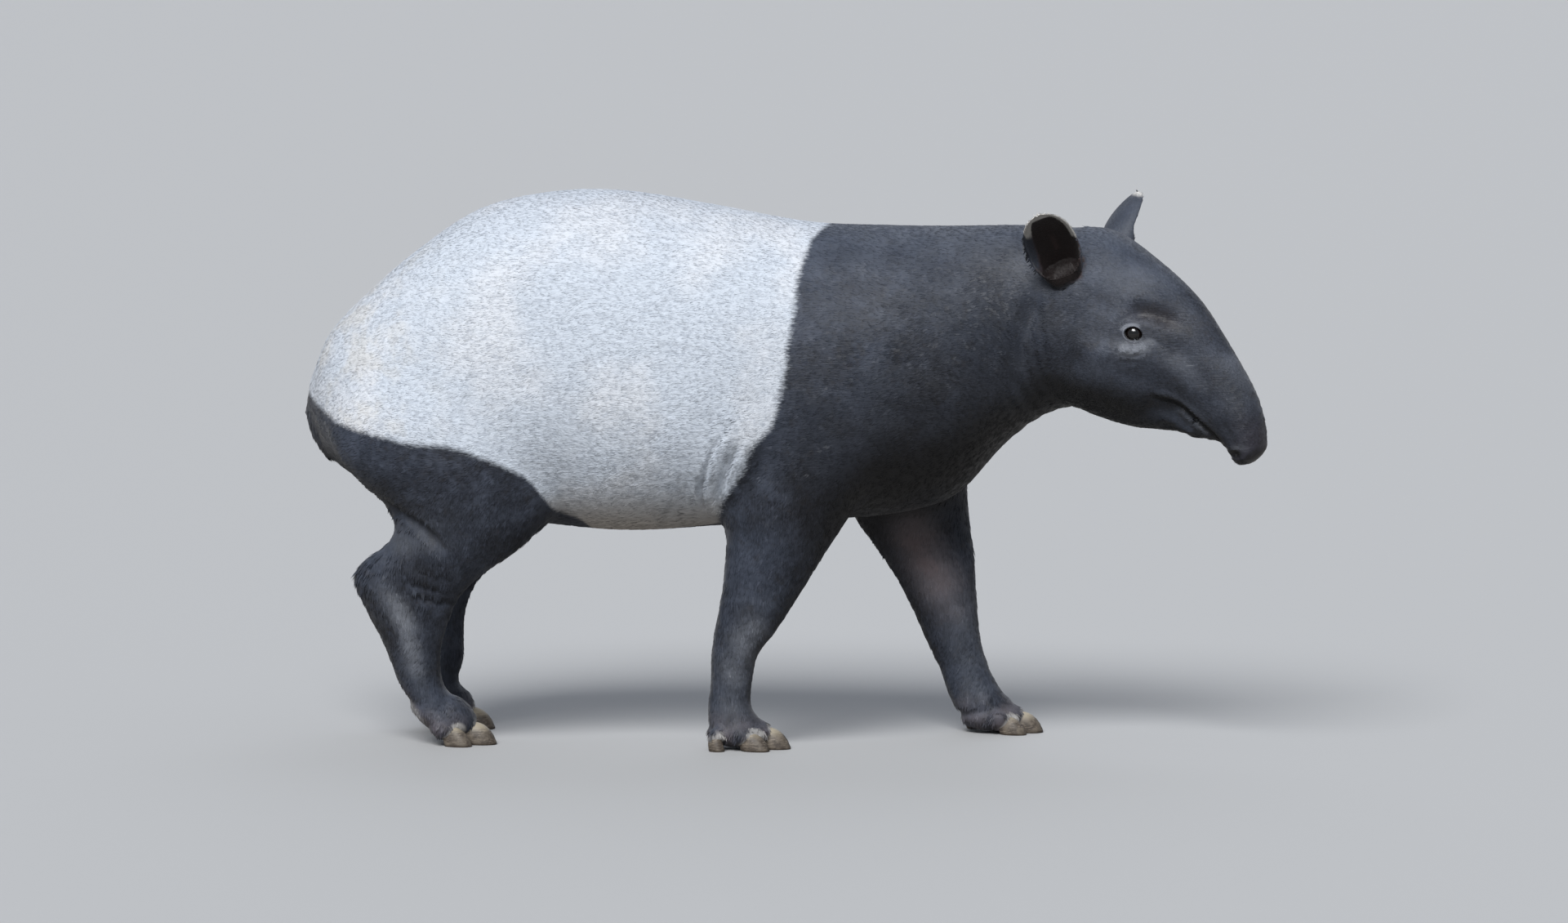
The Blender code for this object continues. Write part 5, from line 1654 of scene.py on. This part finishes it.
def bake_map(mesh, roots, faces, each):
    """A UV map in which each tuft is a small patch at its root's place on the unwrapped skin."""
    at = unwrapped(roots)
    tuft = faces // each
    corner = np.tile(np.array(((0.0, 0.0), (0.003, 0.0), (0.0015, 0.003))), (len(faces), 1))
    uv = at[tuft.ravel()] + corner - 0.0015
    layer = mesh.uv_layers.new(name="OFBake")
    layer.data.foreach_set("uv", np.clip(uv, 0.0, 1.0).astype(np.float32).ravel())


def build_hooves(stuff):
    """One mesh of rounded horn toes for each foot, standing where the solid hooves stand."""
    for foot in FEET:
        made = join([fine_hoof("toe_" + toe[0], foot, toe) for toe in toes_of(foot)], "hooves_" + foot)
        made.data.materials.append(stuff)
        set_coordinates(made.data, world(coordinates(made.data)))
        face_outwards(made)
        made.data.shade_smooth()
        made.data.set_sharp_from_angle(angle=math.radians(55))
        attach(made, "root")
        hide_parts(*[f"hoof_{foot}_{toe[0]}" for toe in toes_of(foot)])


def fine_hoof(name, foot, toe):
    """A hoof with a rolled lower edge, fine growth rings and a bulged wall."""
    turn, place, _ = foot_frame(foot)
    _, forward, outward, length, width, height, splay = toe
    spin = turn @ Matrix.Rotation(math.radians(splay), 3, "Z")
    sides, levels = 40, 16
    points = []
    for level in range(-1, levels + 1):
        t = max(level, 0) / levels
        up = math.sin(t * math.pi / 2) ** 0.85
        wide = math.sqrt(max(0.0, 1 - (up * 0.985) ** 2.6))
        if level == -1:
            wide, up = wide * 0.93, 0.0
        elif level == 0:
            up = 0.045
        wide *= 1 + 0.008 * math.sin(t * 34)
        for i in range(sides):
            a = 2 * math.pi * i / sides
            c = math.copysign(abs(math.cos(a)) ** 0.86, math.cos(a))
            s = math.copysign(abs(math.sin(a)) ** 0.86, math.sin(a))
            ripple = 1 + 0.012 * math.sin(5 * a + 2 * splay) * (1 - up)
            points.append(spin @ Vector((length / 2 * wide * c * ripple - 0.22 * length * up,
                                         width / 2 * wide * s * ripple, height * up)))
    at = place + turn @ Vector((forward, outward, 0))
    points = [p + at for p in points]
    rows = levels + 2
    faces = [tuple(range(sides))[::-1], tuple(range((rows - 1) * sides, rows * sides))]
    for level in range(rows - 1):
        for i in range(sides):
            k = (i + 1) % sides
            low, high = level * sides, (level + 1) * sides
            faces.append((low + i, low + k, high + k, high + i))
    made = new_object(name, points, faces)
    face_outwards(made)
    return made


def hoof_boxes():
    """Each solid hoof's box, moved back by the shift to where the straight body stands."""
    found = []
    for foot in FEET:
        for toe in toes_of(foot):
            low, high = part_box(f"hoof_{foot}_{toe[0]}")
            found.append((np.array(low) - SHIFT, np.array(high) - SHIFT))
    return found


HOOF_BOXES = hoof_boxes()


def build_eyes():
    """Both eyes, each a ball with a cornea."""
    for word, side in (("right", -1), ("left", 1)):
        made = ball("eyeball_" + word, eye_place(side), [EYE_RADIUS] * 3, rings=40)
        points = coordinates(made.data)
        look = np.array(eye_axes(side)[0])
        centre = np.array(eye_place(side))
        # The cornea stands a little proud of the ball.
        facing = ((points - centre) @ look) / EYE_RADIUS
        points = points + (points - centre) * (0.035 * step(facing, 0.70, 0.92))[:, None]
        set_coordinates(made.data, world(points, rigid=True))
        made.data.materials.append(eye_material(side))
        made.data.shade_smooth()
        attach(made, "root")
        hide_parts("eye_" + word)


# A lash: two rings of three points and a tip, as shares of its length and thickness.
LASH = ((-0.1, 1, 0), (-0.1, -0.5, 0.87), (-0.1, -0.5, -0.87), (0.5, 0.7, 0.05), (0.5, -0.35, 0.65),
        (0.5, -0.35, -0.55), (1, 0, 0))
LASH_THICK = 0.00032
LASHES = 46


def build_lashes(stuff):
    """Short lashes over the upper lids."""
    points, faces = [], []
    rng = np.random.default_rng(21)
    for side in (-1, 1):
        look, long_way, up = [np.array(v) for v in eye_axes(side)]
        centre = np.array(eye_place(side))
        for i in range(LASHES):
            t = -0.92 + 1.84 * (i + rng.uniform(-0.3, 0.3)) / (LASHES - 1)
            u = t * EYE_OPEN_LONG / 2
            v = EYE_OPEN_TALL / 2 * 1.10 * max(0.0, 1 - t * t) ** 0.62
            w = math.sqrt(max((EYE_RADIUS + 0.002) ** 2 - u * u - v * v, 1e-6))
            root = centre + look * w + long_way * u + up * v
            ahead = look * 0.75 + up * 0.10 + long_way * (0.35 * t) + rng.normal(0, 0.10, 3)
            ahead /= np.linalg.norm(ahead)
            aside = np.cross(ahead, up)
            aside /= np.linalg.norm(aside)
            length = rng.uniform(0.006, 0.010)
            start = len(points)
            for along, wide, lift in LASH:
                bend = -0.12 * length * along * along
                points.append(root + ahead * length * along + aside * LASH_THICK * wide
                              + up * (LASH_THICK * lift + bend))
            for a, b in ((0, 1), (1, 2), (2, 0)):
                faces.append((start + a, start + b, start + b + 3))
                faces.append((start + a, start + b + 3, start + a + 3))
                faces.append((start + a + 3, start + b + 3, start + 6))
            faces.append((start, start + 2, start + 1))
    made = from_arrays("lashes", world(np.array(points), rigid=True), np.array(faces))
    face_outwards(made)
    made.data.materials.append(stuff)
    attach(made, "root")


FLESH = ("torso", "neck", "head", "proboscis", "tail", "ear_right", "ear_left",
         "foreleg_upper_right", "foreleg_upper_left", "foreleg_lower_right", "foreleg_lower_left",
         "hindleg_upper_right", "hindleg_upper_left", "hindleg_lower_right", "hindleg_lower_left")


def build():
    skin = shaped_skin()
    skin.name = "skin"
    triangulate(skin)
    surface = Surface(skin.data)
    points, out = surface.points, surface.out
    skin.data.materials.clear()
    skin.data.materials.append(coat_material("short_slate_and_white_fur", False))
    set_colour(skin.data, "marks", marks(points, out))
    limb = legs_share(points)
    set_colour(skin.data, "lie", np.stack([limb, 0 * limb + 0.5, 0 * limb, 0 * limb], axis=1))
    set_coordinates(skin.data, world(points))
    skin.data.shade_smooth()
    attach(skin, "root")
    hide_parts(*FLESH)
    build_eyes()
    build_hooves(horn_material())
    stuff = coat_material("fur_tufts", True)
    build_lashes(lash_material())
    grow_coat(surface, stuff)


def triangulate(obj):
    bm = bmesh.new()
    bm.from_mesh(obj.data)
    bmesh.ops.triangulate(bm, faces=bm.faces[:])
    bm.to_mesh(obj.data)
    bm.free()


def grow_coat(surface, stuff):
    """The body's tufts in pieces from rump to nose, and the limbs' in two more."""
    rng = np.random.default_rng(7)
    roots, out = surface.scatter(tufts_per_area, rng)
    lengths = fur_length(roots)
    low = roots[:, 2] < 0.40
    for name, chosen in (("limbs", low), ("body", ~low)):
        order = np.nonzero(chosen)[0]
        order = order[np.argsort(roots[order, 0])]
        parts = math.ceil(len(order) * BLADES * len(BLADE_FACES) / PIECE_TRIANGLES)
        for i, part in enumerate(np.array_split(order, parts)):
            coat_piece(f"coat_{name}_{i + 1}", roots[part], out[part], lengths[part], rng, stuff)


def pale_floor():
    """A plain pale floor that throws little light back up under the body."""
    material, shader = new_material("pale_floor")
    tree = material.node_tree
    seen = add(tree, "LightPath", out="Is Camera Ray")
    colour = add(tree, "Mix", data_type="RGBA", Factor=seen, A=linear("85827E"), B=linear("BEBFC0"),
                 out="Result")
    fill(shader, Base_Color=colour, Roughness=0.8)
    return material


# The camera looks from this far, at these angles to the right and up, at the middle of the animal.
LOOK_AT = Vector((0, 0, 0.535))
CAMERA_FAR = 12.0
CAMERA_AZIMUTH = math.radians(4)
CAMERA_RISE = math.radians(5)
LENS = 144
FLOOR_HALF = 400
# Lamps: name, where the light comes from, strength, softness in degrees, and colour.
LAMPS = (
    ("key", (-0.22, -0.85, 0.90), 2.85, 32, "FFFFFF"),
    ("spark", (0.10, -1.0, 0.70), 0.15, 8, "FFFFFF"),
    ("back", (0.10, 0.90, 0.80), 0.55, 60, "EEF3FF"),
)


def build_camera(scene):
    level = math.cos(CAMERA_RISE)
    offset = Vector((math.sin(CAMERA_AZIMUTH) * level, -math.cos(CAMERA_AZIMUTH) * level,
                     math.sin(CAMERA_RISE)))
    camera = bpy.data.objects.new("camera", bpy.data.cameras.new("camera"))
    camera.location = LOOK_AT + offset * CAMERA_FAR
    camera.rotation_euler = (-offset).to_track_quat("-Z", "Y").to_euler()
    camera.data.lens = LENS
    camera.data.sensor_width = 36
    camera.data.clip_end = 1000
    scene.collection.objects.link(camera)
    scene.camera = camera


def build_floor():
    corners = [(-1, -1, 0), (1, -1, 0), (1, 1, 0), (-1, 1, 0)]
    floor = new_object("floor", [Vector(c) * FLOOR_HALF for c in corners], [(0, 1, 2, 3)])
    floor.data.materials.append(pale_floor())


def build_surroundings(scene):
    """A cool sky that lights the animal, seen by the camera as a pale wall."""
    studio = bpy.data.worlds.new("studio")
    studio.use_nodes = True
    tree = studio.node_tree
    light = tree.nodes["Background"]
    fill(light, Color=linear("DDE4EE"), Strength=0.30)
    wall = add(tree, "Background", linear("C4C6C8"))
    seen = add(tree, "LightPath", out="Is Camera Ray")
    both = add(tree, "MixShader", seen, light.outputs[0], wall)
    fill(tree.nodes["World Output"], Surface=both)
    scene.view_settings.view_transform = "Standard"
    scene.world = studio


def build_lamps(scene):
    for name, place, strength, soft, tint in LAMPS:
        light = bpy.data.lights.new(name, "SUN")
        light.energy = strength
        light.angle = math.radians(soft)
        light.color = linear(tint)[:3]
        lamp = bpy.data.objects.new(name, light)
        lamp.location = Vector(place) * 4
        lamp.rotation_euler = (-Vector(place)).to_track_quat("-Z", "Y").to_euler()
        scene.collection.objects.link(lamp)


def build_stage():
    """Camera, floor and soft studio light."""
    scene = bpy.context.scene
    build_camera(scene)
    build_floor()
    build_surroundings(scene)
    build_lamps(scene)


build()
build_stage()
